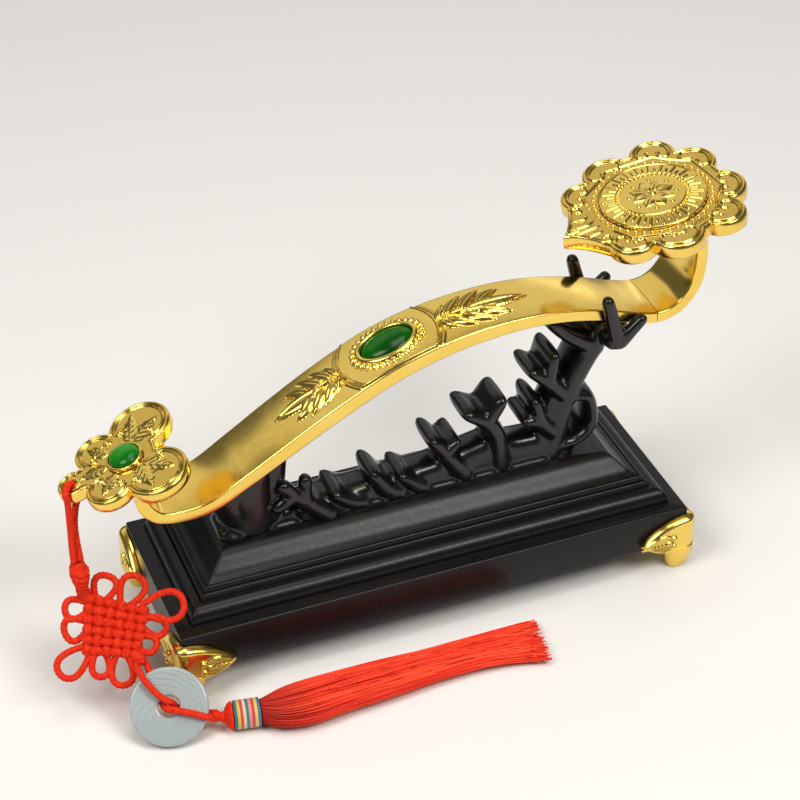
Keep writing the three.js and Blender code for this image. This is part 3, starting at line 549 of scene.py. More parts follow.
def setLamps():
    for i, (place, width, height, roll, power, colour) in enumerate(studio["lamps"]):
        lamp = bpy.data.lights.new(f"lamp{i}", "AREA")
        lamp.shape = "RECTANGLE"
        lamp.size = width
        lamp.size_y = height
        lamp.energy = power
        lamp.color = linear(*colour)[:3]
        holder = bpy.data.objects.new(f"lamp{i}", lamp)
        holder.location = place
        aim = Vector(place) - Vector(view["target"])
        turn = aim.to_track_quat("Z", "Y") @ Quaternion((0, 0, 1), math.radians(roll))
        holder.rotation_euler = turn.to_euler()
        bpy.context.scene.collection.objects.link(holder)


setCamera()
setFloor()
setWorld()
setLamps()
bpy.context.scene.view_settings.view_transform = "Standard"
print("camera, floor and lamps set")


# Pendant: cords, knots, ring and tassel

def facing(azimuth, elevation, place):  # +Z towards a viewer at these angles, +Y upwards
    a, e = math.radians(azimuth), math.radians(elevation)
    right = np.array([math.cos(a), math.sin(a), 0])
    towards = np.array([math.sin(a) * math.cos(e), -math.cos(a) * math.cos(e), math.sin(e)])
    matrix = shift(*place)
    matrix[:3, :3] = np.column_stack([right, np.cross(towards, right), towards])
    return matrix


cordStock = {"radius": 1.2, "plait": {"strands": 2, "pitch": 1.3, "lift": 0.3}, "step": 0.28}
ringFrame = facing(ringPlace["azimuth"], ringPlace["elevation"], ringPlace["centre"])
loopRoute = [
    (-129.65, -9.3, 52.8), (-129.4, -7.8, 58.5), (-128.9, -6.1, 65.5), (-128.65, -5.2, 72),
    (-128.66, -4.8, 76.7), (-129, -4.42, 78.4), (-128.46, -3.06, 79.5), (-127.38, -1.19, 79.9),
    (-126.5, 0.08, 79.75), (-125.58, 0.93, 78.75), (-124.69, 1.27, 76.84), (-123.74, 1.35, 74.31),
    (-123.9, 1, 71.8), (-125.2, -0.2, 69), (-126.6, -2.7, 64.5), (-127.2, -5.7, 59), (-127.2, -9.2, 52.8),
]
frontStrand = [  # right, up and towards the viewer from the ring's centre
    (-10, 16.4, -3), (-10.4, 14.9, -0.2), (-9.6, 13.2, 2.6), (-8, 10, 3.7), (-3.4, 4.2, 3.7),
    (0.2, 1.7, 3.1), (1.7, 0.7, 0), (2, 0.1, -3), (4.5, -1.2, -3.8), (9, -2.8, -3.7), (13, -3.2, -3.8),
    (16.6, -3.4, -4),
]
backStrand = [
    (-7.4, 16.6, -4.5), (-6.2, 13.6, -4.3), (-5.6, 10, -3.7), (-4.6, 4.6, -3.7), (-2.2, 1.4, -3.1),
    (-1.7, 0, 0), (-0.7, -0.8, 2.9), (3, -1.7, 3.6), (9, -3.4, 3.5), (12.4, -4.7, 3.2),
    (14.2, -5.3, 1.9), (15, -5.6, 0), (15.9, -5.4, -1.6),
]


def corded(line, radius=cordStock["radius"]):
    return cordShell(line, radius, 16, cordStock["plait"])


def cordPiece(name, node, points, body, lay):
    rough = smoothLine(points, 200)
    line = smoothLine(points, int(lineLength(rough) / cordStock["step"]))
    piece = makePiece(name, [corded(line)], redCord, body, [node], crease=180)
    path = line * mm + plinthMiddle
    declared = {
        "exit": path[0].tolist(), "length": lineLength(path), "diameter": 2 * cordStock["radius"] * mm,
        "far_end": "knot", "stiffness": "limp", "lay": lay, "path": path[::4].tolist() + [path[-1].tolist()],
    }
    return piece, declared


cords = [
    cordPiece("hangingCord", "hanging_cord", loopRoute, "sceptre", "hanging"),
    cordPiece("frontStrand", "front_strand", placed(frontStrand, ringFrame), "pendant", "loose"),
    cordPiece("backStrand", "back_strand", placed(backStrand, ringFrame), "pendant", "loose"),
]
print("cords laid")

topKnot = {
    "centre": (-128.3, -10.8, 46.8), "radius": 3.6, "length": 10.6, "lean": 15, "turns": 4.2, "tilt": 0.55,
    "core": (1.1, 1.5),  # least radius, and how much it swells
}


def leanFrame():
    lean = math.radians(-topKnot["lean"])
    matrix = shift(*topKnot["centre"])
    matrix[1:3, 1:3] = [[math.cos(lean), -math.sin(lean)], [math.sin(lean), math.cos(lean)]]
    return matrix


def makeTopKnot():  # cord wrapped round itself in a pear-shaped lump
    share = np.linspace(0, 1, 190)
    half = topKnot["length"] / 2
    swell = (topKnot["radius"] - cordStock["radius"]) * np.sin(np.pi * (0.2 + 0.66 * share**0.62)) ** 1.1
    turn = 2 * np.pi * topKnot["turns"] * share
    along = (half - cordStock["radius"]) * (1 - 2 * share)
    tilt = topKnot["tilt"] * swell * np.sin(turn)
    wrap = np.column_stack([swell * np.cos(turn), swell * np.sin(turn), along + tilt])
    core = np.column_stack([np.zeros(30), np.zeros(30), np.linspace(half, -half, 30)])
    least, bulge = topKnot["core"]
    coreRadius = least + bulge * np.sin(np.pi * np.linspace(0.12, 0.92, 30) ** 0.8) ** 0.8
    shells = [corded(evenLine(wrap, 260)), cordShell(core, coreRadius, 16)]
    return makePiece("topKnot", shells, redCord, "pendant", ["top_knot"], leanFrame(), 180)


mysticKnot = {
    "centre": (-120.8, -22, 29.2), "azimuth": -12, "elevation": 42, "thickness": 5, "strands": 6,
    "fat": 1.62, "flat": 0.95, "pinch": (0.84, 0.2),  # a strand's thickness where it dips, and what it gains
    "strandInset": 0.03, "backing": 0.35, "backingInset": 0.08, "earLift": 0.5,
    "links": [  # up to the top knot and down to the ring: places, then thickness along them
        ([(-128.3, -12, 42.6), (-128, -11.8, 40.2), (-126.6, -12.4, 37.4)], (2.2, 2.3, 2.5, 1.8)),
        ([(-116.4, -29.6, 22.4), (-114.7, -31.7, 20.6), (-114.1, -33.2, 19.6)], (2.2, 2.9, 2.7, 1.9)),
    ],
    "corners": [(-9.1, 13.9), (13.5, 5.8), (8, -11.7), (-12, -8)], "earGap": 3,
    "ears": [  # base x, base y, direction, length, width
        (-3.2, 11.5, 66, 9, 6.4), (5.2, 8.8, 58, 11, 7), (11.5, 5.4, 2, 15.2, 8.6), (11.5, 0.5, -22, 8.6, 5),
        (9, -5.6, -28, 7, 4.2), (-9.4, 8.6, 184, 8, 5.4), (-10.4, 2, 193, 8, 6.4), (-10.6, -6.8, 217, 13, 7),
        (-5.6, -8.6, 268, 9, 4.6), (1.8, -10, 268, 11.4, 6),
    ],
}


def panelPoint(across, down):  # place on the knot's woven panel, from 0 to 1 each way
    a, b, c, d = [np.array(corner) for corner in mysticKnot["corners"]]
    across, down = np.asarray(across)[:, None], np.asarray(down)[:, None]
    return (a * (1 - across) + b * across) * (1 - down) + (d * (1 - across) + c * across) * down


def wovenPanel():  # strands over and under each other, on a thin backing
    count, fat, flat = mysticKnot["strands"], mysticKnot["fat"], mysticKnot["flat"]
    wave = mysticKnot["thickness"] / 2 / flat - fat - 0.1
    dip, gain = mysticKnot["pinch"]
    run = np.linspace(mysticKnot["strandInset"], 1 - mysticKnot["strandInset"], 90)
    shells = []
    for i in range(count):
        fixed = np.full_like(run, (i + 0.5) / count)
        over = np.sin(np.pi * (run * count + i))
        for level, lift in ((panelPoint(run, fixed), over), (panelPoint(fixed, run), -over)):
            line = np.column_stack([level, wave * lift])
            points, faces = corded(line, fat * (dip + gain * np.abs(lift)))
            shells.append((points * (1, 1, flat), faces))
    inset, half = mysticKnot["backingInset"], mysticKnot["backing"]
    edge = np.linspace(inset, 1 - inset, 12)
    low, high = np.full(12, inset), np.full(12, 1 - inset)
    sides = ((edge, low), (high, edge), (edge[::-1], high), (low, edge[::-1]))
    rim = np.vstack([panelPoint(across, down) for across, down in sides])
    shells.append(closedLoft([np.column_stack([rim, np.full(len(rim), z)]) for z in (-half, half)]))
    return shells


def knotEars():  # loops of cord round the panel
    share = np.linspace(0, 1, 90)
    shells = []
    for i, (baseX, baseY, direction, length, width) in enumerate(mysticKnot["ears"]):
        turn = math.radians(direction)
        out = length * np.sin(np.pi * share) - cordStock["radius"]
        aside = width / 2 * np.sin(2 * np.pi * share) + mysticKnot["earGap"] * (0.5 - share)
        x = baseX + out * math.cos(turn) - aside * math.sin(turn)
        y = baseY + out * math.sin(turn) + aside * math.cos(turn)
        z = mysticKnot["earLift"] * (1 if i % 2 else -1) * np.sin(2 * np.pi * share)
        line = np.column_stack([x, y, z])
        shells.append(corded(evenLine(line, int(lineLength(line) / cordStock["step"]))))
    return shells


def makeMysticKnot():
    place = facing(mysticKnot["azimuth"], mysticKnot["elevation"], mysticKnot["centre"])
    shells = [(placed(points, place), faces) for points, faces in wovenPanel() + knotEars()]
    for points, radius in mysticKnot["links"]:
        steps = np.interp(np.linspace(0, 1, 40), np.linspace(0, 1, len(radius)), radius)
        shells.append(corded(smoothLine(points, 40), steps))
    return makePiece("mysticKnot", shells, redCord, "pendant", ["mystic_knot"], crease=180)


strandLashing = {  # binds the strands' ends by the tassel
    "route": [(13.4, -4.2, -2.4), (15.6, -4.5, -2.7), (17.2, -4.8, -2.6)],
    "radius": (1.25, 2.0, 1.9), "radiusAt": (0, 0.45, 1),
}


def makeStrandLashing():
    line = smoothLine(placed(strandLashing["route"], ringFrame), 30)
    radius = np.interp(np.linspace(0, 1, 30), strandLashing["radiusAt"], strandLashing["radius"])
    return makePiece("strandLashing", [corded(line, radius)], redCord, "pendant", crease=180)


jadeRing = {"radius": 14, "hole": 3.7, "thickness": 3.5, "round": 1.1}


def makeJadeRing():
    edge = jadeRing["round"]
    flat = jadeRing["thickness"] / 2 - edge
    outer, inner = jadeRing["radius"] - edge, jadeRing["hole"] + edge
    section = []
    for x, z, start in ((outer, -flat, -90), (outer, flat, 0), (inner, flat, 90), (inner, -flat, 180)):
        for step in np.linspace(0, 90, 7):
            angle = math.radians(start + step)
            section.append((x + edge * math.cos(angle), z + edge * math.sin(angle)))
    shells = [ovalBand(0, 0, section, 128)]
    return makePiece("jadeRing", shells, paleJade, "ring", ["jade_ring"], ringFrame)


tassel = {
    "place": (-92, -55.1, 5.7), "yaw": -10, "ball": 2.0, "capRadius": 5.1, "capLength": 3.1,
    "bandLength": 9.6, "neckRadius": 4.6, "skirtGap": 0.5,
    "skirt": [  # x, y, width and height of the skirt on the floor
        (-73, -58.2, 17, 9.2), (-64, -58.2, 21, 8.8), (-48.5, -57, 20.4, 8), (-31, -56.3, 19.4, 7),
        (-12.5, -55.7, 17, 6.2), (5.5, -55.4, 17.4, 5.6), (20, -56.2, 20, 5), (31, -57.8, 24, 4.4),
    ],
    "threads": 560, "threadRadius": 0.29, "seed": 7, "coreRows": 54, "coreShare": 0.8,
}
bandStart = tassel["capLength"] + seatGap
bandEnd = bandStart + tassel["bandLength"]


def tasselFrame():  # +Z along the tassel
    yaw = math.radians(tassel["yaw"])
    matrix = shift(*tassel["place"])
    matrix[:3, 0] = (0, 0, -1)
    matrix[:3, 1] = (-math.sin(yaw), math.cos(yaw), 0)
    matrix[:3, 2] = (math.cos(yaw), math.sin(yaw), 0)
    return matrix


def makeTasselCap():
    ball, radius, length = tassel["ball"], tassel["capRadius"], tassel["capLength"]
    profile = [(ball * math.sin(a), -ball * math.cos(a)) for a in np.radians(np.linspace(4, 105, 10))]
    for share in np.linspace(0.12, 1, 12):
        swell = math.sin(share * math.pi / 2) ** 0.8
        profile.append((ball + (radius - ball) * swell, length * (0.08 + 0.92 * share)))
    profile.append((radius * 0.9, length + 0.15))
    shells = [turnedShell(profile, 192, 0.018, 48)]
    return makePiece("tasselCap", shells, redCord, "tassel", ["tassel_cap"], tasselFrame(), 60)


def makeTasselNeck():
    radius = tassel["neckRadius"]
    narrow, ease = radius * 0.9, 0.4
    profile = [(narrow, bandStart), (radius, bandStart + ease), (radius, bandEnd - ease), (narrow, bandEnd)]
    shells = [turnedShell(profile, 96, 0.01, 48)]
    # the neck wears the darker red: painted shade under the band
    return makePiece("tasselNeck", shells, shadedCoreRed, "tassel", ["tassel_neck"], tasselFrame())


def windingTree():
    tree, given, outgoing = newTree("winding", [
        ("Turns", "Float"), ("Radius", "Float"), ("Length", "Float"), ("Thread", "Float"),
        ("Finish", "Material"),
    ])
    spiral = addNode(tree, "GeometryNodeCurveSpiral", {
        "Resolution": 40, "Rotations": given["Turns"], "Start Radius": given["Radius"],
        "End Radius": given["Radius"], "Height": given["Length"],
    })
    along = addNode(tree, "GeometryNodeSplineParameter", {})
    wound = storeValue(tree, spiral.outputs[0], "wound", along.outputs["Factor"])
    finishTree(tree, outgoing, tubeAlong(tree, wound, given["Thread"], 8), given["Finish"])
    return tree


def makeTasselBand():
    thread = tasselBand["thread"]
    mesh = growMesh("tasselBand", windingTree(), {
        "Turns": float(len(tasselBand["stripes"]) * tasselBand["turnsPerStripe"]),
        "Radius": (tassel["neckRadius"] + seatGap + thread) * mm,
        "Length": (tassel["bandLength"] - 2 * thread) * mm, "Thread": thread * mm, "Finish": stripedThread,
    }, place=tasselFrame() @ shift(0, 0, bandStart + thread))
    return addPiece("tasselBand", mesh, None, "tassel", ["tassel_band"])


def skirtSections():  # centre, side and half sizes of the skirt from its neck to its end
    yaw = math.radians(tassel["yaw"])
    root = np.array(tassel["place"]) + (bandEnd + seatGap) * np.array([math.cos(yaw), math.sin(yaw), 0])
    wide = 2 * tassel["neckRadius"]
    table = np.array([(root[0], root[1], wide, wide), *tassel["skirt"]])
    line = smoothLine(table, 60)
    heading = np.gradient(line[:, :2], axis=0)
    heading /= np.linalg.norm(heading, axis=1)[:, None]
    heading[0] = (math.cos(yaw), math.sin(yaw))
    centre = np.column_stack([line[:, 0], line[:, 1], tassel["skirtGap"] + line[:, 3] / 2])
    centre[0, 2] = tassel["place"][2]
    side = np.column_stack([-heading[:, 1], heading[:, 0], np.zeros(len(line))])
    return centre, side, line[:, 2] / 2, line[:, 3] / 2


def threadTree():
    tree, given, outgoing = newTree("skirtThreads", [
        ("Threads", "Int"), ("Thread radius", "Float"), ("Seed", "Int"), ("Finish", "Material"),
    ])
    guide = addNode(tree, "GeometryNodeMeshToCurve", {"Mesh": given["Geometry"]})
    roots = addNode(tree, "GeometryNodePoints", {"Count": given["Threads"]}).outputs[0]
    draws = [
        ("turn", 0.0, 2 * math.pi), ("depth", 0.6, 1.0), ("reach", 0.92, 1.0), ("shade", 0.0, 1.0),
        ("stray", -1.0, 1.0),
    ]
    for i, (label, low, high) in enumerate(draws):
        seed = addNode(tree, "ShaderNodeMath", {0: given["Seed"], 1: i * 31.0}, operation="ADD")
        limits = {2: low, 3: high, "Seed": seed.outputs[0]}
        draw = addNode(tree, "FunctionNodeRandomValue", limits, data_type="FLOAT")
        roots = storeValue(tree, roots, label, draw.outputs[1])
    straight = addNode(tree, "GeometryNodeCurvePrimitiveLine", {"End": (1, 0, 0)})
    stepped = addNode(tree, "GeometryNodeResampleCurve", {"Curve": straight.outputs[0], "Count": 26})
    many = addNode(tree, "GeometryNodeInstanceOnPoints", {"Points": roots, "Instance": stepped.outputs[0]})
    real = addNode(tree, "GeometryNodeRealizeInstances", {"Geometry": many.outputs[0]})

    def named(label, kind="FLOAT"):
        return addNode(tree, "GeometryNodeInputNamedAttribute", {"Name": label}, data_type=kind).outputs[0]

    def calc(operation, first, second=0.0):
        return addNode(tree, "ShaderNodeMath", {0: first, 1: second}, operation=operation).outputs[0]

    def product(*factors):
        result = factors[0]
        for factor in factors[1:]:
            result = calc("MULTIPLY", result, factor)
        return result

    def added(first, second):
        return addNode(tree, "ShaderNodeVectorMath", {0: first, 1: second}, operation="ADD").outputs[0]

    factor = addNode(tree, "GeometryNodeSplineParameter", {}).outputs["Factor"]
    along = product(factor, named("reach"))

    def guideValue(label, kind):
        links = {"Curves": guide.outputs[0], "Factor": along}
        sample = addNode(tree, "GeometryNodeSampleCurve", links,
                         mode="FACTOR", use_all_curves=True, data_type=kind)
        tree.links.new(named(label, kind), sample.inputs["Value"])
        return sample.outputs

    centre = guideValue("halfWidth", "FLOAT")
    halfHeight = guideValue("halfHeight", "FLOAT")["Value"]
    side = guideValue("side", "FLOAT_VECTOR")["Value"]
    course = calc("ADD", product(named("stray"), 40.0), product(along, 2.8))
    wander = addNode(tree, "ShaderNodeTexNoise", {"W": course, "Scale": 1.0}, noise_dimensions="1D")
    drift = product(calc("SUBTRACT", wander.outputs[0], 0.5), product(along, 1.1))
    turn = calc("ADD", named("turn"), drift)
    depth = named("depth")
    aside = product(calc("COSINE", turn), depth, centre["Value"])
    up = product(calc("SINE", turn), depth, halfHeight)
    sideways = addNode(tree, "ShaderNodeVectorMath", {0: side, "Scale": aside}, operation="SCALE").outputs[0]
    rise = addNode(tree, "ShaderNodeCombineXYZ", {"Z": up}).outputs[0]
    spot = added(centre["Position"], added(sideways, rise))
    laid = addNode(tree, "GeometryNodeSetPosition", {"Geometry": real.outputs[0], "Position": spot})
    # painted shade: threads darken towards the band, fading out over the first fifth of their length
    shadow = {"Value": along, "From Max": 0.2, "To Min": 0.85, "To Max": 0.0}
    dark = addNode(tree, "ShaderNodeMapRange", shadow).outputs[0]
    rootShaded = storeValue(tree, laid.outputs[0], "root", dark)
    finishTree(tree, outgoing, tubeAlong(tree, rootShaded, given["Thread radius"], 4), given["Finish"])
    return tree


def makeTasselSkirt():
    centre, side, halfWidth, halfHeight = skirtSections()
    inset = tassel["threadRadius"]
    base = bpy.data.meshes.new("skirtGuide")
    chain = [(i, i + 1) for i in range(len(centre) - 1)]
    base.from_pydata((centre * mm + plinthMiddle).tolist(), chain, [])
    for label, values in (("halfWidth", halfWidth - inset), ("halfHeight", halfHeight - inset)):
        layer = base.attributes.new(label, "FLOAT", "POINT")
        layer.data.foreach_set("value", (values * mm).astype(np.float32))
    layer = base.attributes.new("side", "FLOAT_VECTOR", "POINT")
    layer.data.foreach_set("vector", side.astype(np.float32).ravel())
    mesh = growMesh("tasselSkirt", threadTree(), {
        "Threads": tassel["threads"], "Thread radius": tassel["threadRadius"] * mm, "Seed": tassel["seed"],
        "Finish": redThread,
    }, base)
    addPiece("tasselSkirt", mesh, None, "tassel", ["tassel_skirt"])
    turn = fullTurn(28)
    rings = []
    for i in range(tassel["coreRows"]):
        across = side[i] * halfWidth[i] * tassel["coreShare"]
        ring = centre[i] + np.outer(np.cos(turn), across)
        ring[:, 2] += np.sin(turn) * halfHeight[i] * tassel["coreShare"]
        rings.append(ring)
    # painted shade: a dark red core inside the threads, seen in the gaps between them
    makePiece("tasselCore", [closedLoft(rings)], shadedCoreRed, "tassel")


knotted = [makeTopKnot(), makeMysticKnot()]
onStrands = [makeStrandLashing(), makeJadeRing(), makeTasselCap(), makeTasselNeck(), makeTasselBand()]
makeTasselSkirt()
print("knots, ring and tassel made")


# Plinth and moulding

plinthShape = {
    "edge": 0.7, "corner": 0.5, "cover": 12, "ledge": 5.4, "ovolo": (4.4, 5.5), "fillet": 1.6,
    "bead": (1.6, 1.9), "beads": 2, "cyma": (10.1, 6.9), "sway": 0.08, "support": (1.5, 8),
    "quirk": [(-0.7, -0.05), (-0.3, -0.35)], "beadQuirk": (-0.12, -0.3),  # small grooves, in and up
}


def frameRing(inset, height):  # a rectangle with softened corners, this far inside the plinth's outline
    x, y = plinthHalfLength - inset, plinthHalfWidth - inset
    corner = plinthShape["corner"]
    quarters = ((1, 1, -1, 0), (-1, 1, 0, -1), (-1, -1, 1, 0), (1, -1, 0, 1))  # a corner, then the way on
    near, far = plinthShape["support"]
    ring = []
    for quarter, (sideX, sideY, aheadX, aheadY) in enumerate(quarters):
        centreX, centreY = sideX * (x - corner), sideY * (y - corner)
        for share in np.linspace(0, 1, 5):
            angle = (quarter + share) * math.pi / 2
            ring.append((centreX + corner * math.cos(angle), centreY + corner * math.sin(angle), height))
        span = 2 * ((x if aheadX else y) - corner)
        lastX, lastY = ring[-1][:2]
        for gone in (near, far, span / 2, span - far, span - near):
            ring.append((lastX + aheadX * gone, lastY + aheadY * gone, height))
    return ring


def makePlinth():
    edge = plinthShape["edge"]
    rows = []
    for angle in np.radians(np.linspace(-90, 0, 5)):
        rows.append((edge * (1 - math.cos(angle)), plinthBottom + edge * (1 + math.sin(angle))))
    for angle in np.radians(np.linspace(0, 90, 6)):
        rows.append((edge * (1 - math.cos(angle)), plinthTop - edge * (1 - math.sin(angle))))
    rows = [(plinthShape["cover"], plinthBottom), *rows, (plinthShape["cover"], plinthTop)]
    shells = [closedLoft([frameRing(*row) for row in rows])]
    return makePiece("plinthPiece", shells, satinBlack, "stand", ["plinth"], crease=50)


def makeMoulding():
    ovoloWidth, ovoloHeight = plinthShape["ovolo"]
    beadWidth, beadHeight = plinthShape["bead"]
    cymaWidth, cymaHeight = plinthShape["cyma"]
    inset, height = plinthShape["ledge"], plinthTop
    rows = []
    for turn in np.linspace(0, math.pi / 2, 14):
        rows.append((inset + ovoloWidth * (1 - math.cos(turn)), height + ovoloHeight * math.sin(turn)))
    inset, height = inset + ovoloWidth + plinthShape["fillet"], height + ovoloHeight
    rows += [(inset + aside, height + up) for aside, up in plinthShape["quirk"]]
    for _ in range(plinthShape["beads"]):
        for turn in np.linspace(0.15, math.pi * 0.72, 9):
            swell = beadWidth * 0.5 * (1 - math.cos(turn)) * 0.9
            rows.append((inset + swell, height + beadHeight * math.sin(turn) ** 0.9))
        inset, height = inset + beadWidth, height + beadHeight
        rows.append((inset + plinthShape["beadQuirk"][0], height + plinthShape["beadQuirk"][1]))
    for share in np.linspace(0, 1, 18):
        rise = share - plinthShape["sway"] * math.sin(2 * math.pi * share)
        rows.append((inset + cymaWidth * share, height + cymaHeight * rise))
    shells = [closedLoft([frameRing(*row) for row in rows])]
    return makePiece("mouldingPiece", shells, satinBlack, "stand", ["moulding"], crease=32)


makePlinth()
makeMoulding()
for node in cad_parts:  # the screws keep their CAD shape
    if "screw" in node:
        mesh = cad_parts[node].data
        mesh.materials.clear()
        mesh.materials.append(plainSteel)
print("plinth and moulding made")


# Relief: heights drawn over a flat place, in millimetres

def nearLine(x, y, line, margin):  # which places lie in the box round a line
    low, high = line.min(0) - margin, line.max(0) + margin
    return np.flatnonzero((x > low[0]) & (x < high[0]) & (y > low[1]) & (y < high[1]))


def nearestGap(x, y, line, block=50):  # from each place to the nearest point of a line
    apart = np.full(len(x), 1e9)
    for start in range(0, len(line), block):
        part = line[start:start + block]
        gap = np.hypot(x[:, None] - part[:, 0], y[:, None] - part[:, 1]).min(axis=1)
        apart = np.minimum(apart, gap)
    return apart


def leafAxes(x, y, baseX, baseY, direction):  # places along and aside from a leaf's base
    turn = math.radians(direction)
    along = (x - baseX) * math.cos(turn) + (y - baseY) * math.sin(turn)
    aside = (y - baseY) * math.cos(turn) - (x - baseX) * math.sin(turn)
    return along, aside


def reliefRidge(heights, x, y, line, halfWidth, lift, floor):
    near = nearLine(x, y, line, halfWidth)
    apart = nearestGap(x[near], y[near], line)
    rise = floor + lift * (0.5 + 0.5 * np.cos(np.pi * np.clip(apart / halfWidth, 0, 1)))
    raised = apart < halfWidth
    heights[near[raised]] = np.maximum(heights[near[raised]], rise[raised])


leafShape = {
    "notch": 0.1, "notches": 11, "rib": 0.22, "ribWidth": 0.09, "vein": 0.09, "veins": 5.5, "veinSlant": 0.9,
    "body": 0.75,
}


def reliefLeaf(heights, x, y, leaf, floor):  # a pointed leaf with a raised rib and notched sides
    baseX, baseY, direction, length, width, lift = leaf
    along, aside = leafAxes(x, y, baseX, baseY, direction)
    share = np.clip(along / length, 0.001, 0.999)
    notch = 1 - leafShape["notch"] * (1 - np.cos(leafShape["notches"] * np.pi * share)) * (share < 0.92)
    half = width / 2 * np.sin(np.pi * share**0.72) ** 0.85 * notch + 0.02
    inside = (along > 0) & (along < length) & (np.abs(aside) < half)
    bulge = np.clip(1 - (aside / half) ** 2, 0, 1)
    taper = 0.5 + 0.5 * np.sin(np.pi * share) ** 0.6
    rib = leafShape["rib"] * np.exp(-((aside / (leafShape["ribWidth"] * width)) ** 2)) * (share < 0.94)
    slant = along - leafShape["veinSlant"] * np.abs(aside)
    vein = leafShape["vein"] * np.cos(2 * np.pi * slant / (length / leafShape["veins"])) * bulge
    rise = floor + lift * taper * (leafShape["body"] * bulge + rib + vein)
    heights[inside] = np.maximum(heights[inside], rise[inside])


def reliefBlade(heights, x, y, line, width, lift, floor, crease, creaseHalf=0.32):  # a blade along a curve
    near = nearLine(x, y, line, width)
    apart = np.hypot(x[near, None] - line[:, 0], y[near, None] - line[:, 1])
    nearest = apart.argmin(axis=1)
    gap = apart[np.arange(len(near)), nearest]
    share = nearest / (len(line) - 1)
    half = width / 2 * np.sin(np.pi * np.clip(share, 0.02, 0.98) ** 0.8) ** 0.75
    bulge = np.sqrt(np.clip(1 - (gap / half) ** 2, 0, 1))
    taper = 0.45 + 0.55 * np.sin(np.pi * share) ** 0.6
    rise = floor + lift * taper * (bulge - crease * np.exp(-((gap / creaseHalf) ** 2)))
    raised = gap < half
    heights[near[raised]] = np.maximum(heights[near[raised]], rise[raised])


def spiral(centre, radius, start, turns, side, inward=0.6):  # a scroll that curls in to its eye
    share = np.linspace(0, 1, 70)
    reach = radius * (1 - inward * share)
    angle = math.radians(start) + side * 2 * np.pi * turns * share
    return np.column_stack([centre[0] + reach * np.cos(angle), centre[1] + reach * np.sin(angle)])


def lobeScroll(centre, outward, radius, reach, curl, hook, hand):  # from a lobe's crown to a curled end
    arc = np.radians(np.linspace(0, reach, 50))
    eye = (radius - curl) * unit(arc[-1])
    share = np.linspace(0, 1, 60)
    hookTurn, hookShrink = hook
    turn = arc[-1] + share * math.radians(hookTurn)
    size = curl * (1 - hookShrink * share)
    line = np.vstack([
        np.column_stack([radius * np.cos(arc), radius * np.sin(arc)]),
        np.column_stack([eye[0] + size * np.cos(turn), eye[1] + size * np.sin(turn)]),
    ])
    out = unit(outward)
    axes = np.array([out, (-hand * out[1], hand * out[0])])
    return centre + line @ axes, centre + eye @ axes


# Sceptre: grip strip and neck

headPlate = {
    "centre": (94.1, 102.4), "pitch": 10, "twist": 5.7, "thickness": 5.5, "core": 22, "tip": 37.6,
    "shoulder": (-27.2, 14.8), "tipPull": (5, 3.2), "notch": 27.5, "notchEnd": -0.86,
    "lobes": [(-18.8, 16.4, 8.6), (-4.5, 22.5, 9.9), (14.3, 22.9, 8.4), (22.4, 9.6, 9.2)],
    "seat": 1.0, "medallion": 19.7,
}
tailPlate = {
    "centre": (-106.1, 41.8), "pitch": 19.4, "twist": -3.8, "thickness": 4.7, "core": 11.5, "tip": 20.4,
    "tipRadius": 5.6, "hole": 2, "waist": (4.6, 9), "lobes": [(-8.5, 9.7, 8.6), (8.6, 13.3, 11.4)],
}
strip = {
    "endWidth": 24, "midWidth": 27.5, "endThickness": 4.4, "midThickness": 5.8, "crown": 0.6, "edge": 0.55,
    "tailTab": (14, 9.25, 4.5), "headTab": (2, -5, -12), "seam": (93.2, 57.5), "seamGap": 0.3,
    "tailSide": (2.1, -11), "tailFall": [(0, 0), (0.047, 0.336), (0.203, 0.619), (0.477, 0.876)],
    "grip": [
        (-91.2, 19.5), (-80, 20.7), (-65, 29.1), (-49.6, 38.6), (-30.6, 49.7), (-8, 60.7),
        (15, 66.9), (38, 69), (54, 67.8), (70, 64.4), (84, 59.8),
    ],
    "neckSide": (15.8, -20.6),
    "neckRise": [(0.317, 0.025), (0.575, 0.119), (0.784, 0.284), (0.934, 0.49), (0.988, 0.712), (1, 1)],
    "neckReturn": [(15.1, -15), (12.7, -10.6), (8.7, -8)],
}


def plateFrame(plate):
    pitch, twist = math.radians(plate["pitch"]), math.radians(plate["twist"])
    level, rise = math.cos(pitch), math.sin(pitch)
    ahead, aside = math.cos(twist), math.sin(twist)
    tilt = np.array([[level, 0, -rise], [0, 1, 0], [rise, 0, level]])
    turn = np.array([[ahead, -aside, 0], [aside, ahead, 0], [0, 0, 1]])
    matrix = shift(plate["centre"][0], 0, deckTop + plate["centre"][1])
    matrix[:3, :3] = tilt @ turn
    return matrix


def underPlate(plate, reach):
    depth = plate["thickness"] + strip["endThickness"] / 2 + seatGap
    pitch = math.radians(plate["pitch"])
    x, z = plate["centre"]
    return [(x + along * math.cos(pitch) + depth * math.sin(pitch),
             z + along * math.sin(pitch) - depth * math.cos(pitch)) for along in reach]


def pointsBetween(start, end, shares):  # points at these shares of the way across and up
    (x, z), (endX, endZ) = start, end
    return [(x + run * (endX - x), z + rise * (endZ - z)) for run, rise in shares]


def stripCentre():
    tailX, tailZ = tailPlate["centre"]
    headX, headZ = headPlate["centre"]
    tailSide = (tailX + strip["tailSide"][0], tailZ + strip["tailSide"][1])
    neckSide = (headX + strip["neckSide"][0], headZ + strip["neckSide"][1])
    points = underPlate(tailPlate, strip["tailTab"])
    points += pointsBetween(tailSide, strip["grip"][0], strip["tailFall"])
    points += strip["grip"] + [strip["seam"]] + pointsBetween(strip["seam"], neckSide, strip["neckRise"])
    points += [(headX + along, headZ + up) for along, up in strip["neckReturn"]]
    points += underPlate(headPlate, strip["headTab"])
    return smoothLine([(x, 0, deckTop + z) for x, z in points], 4001)


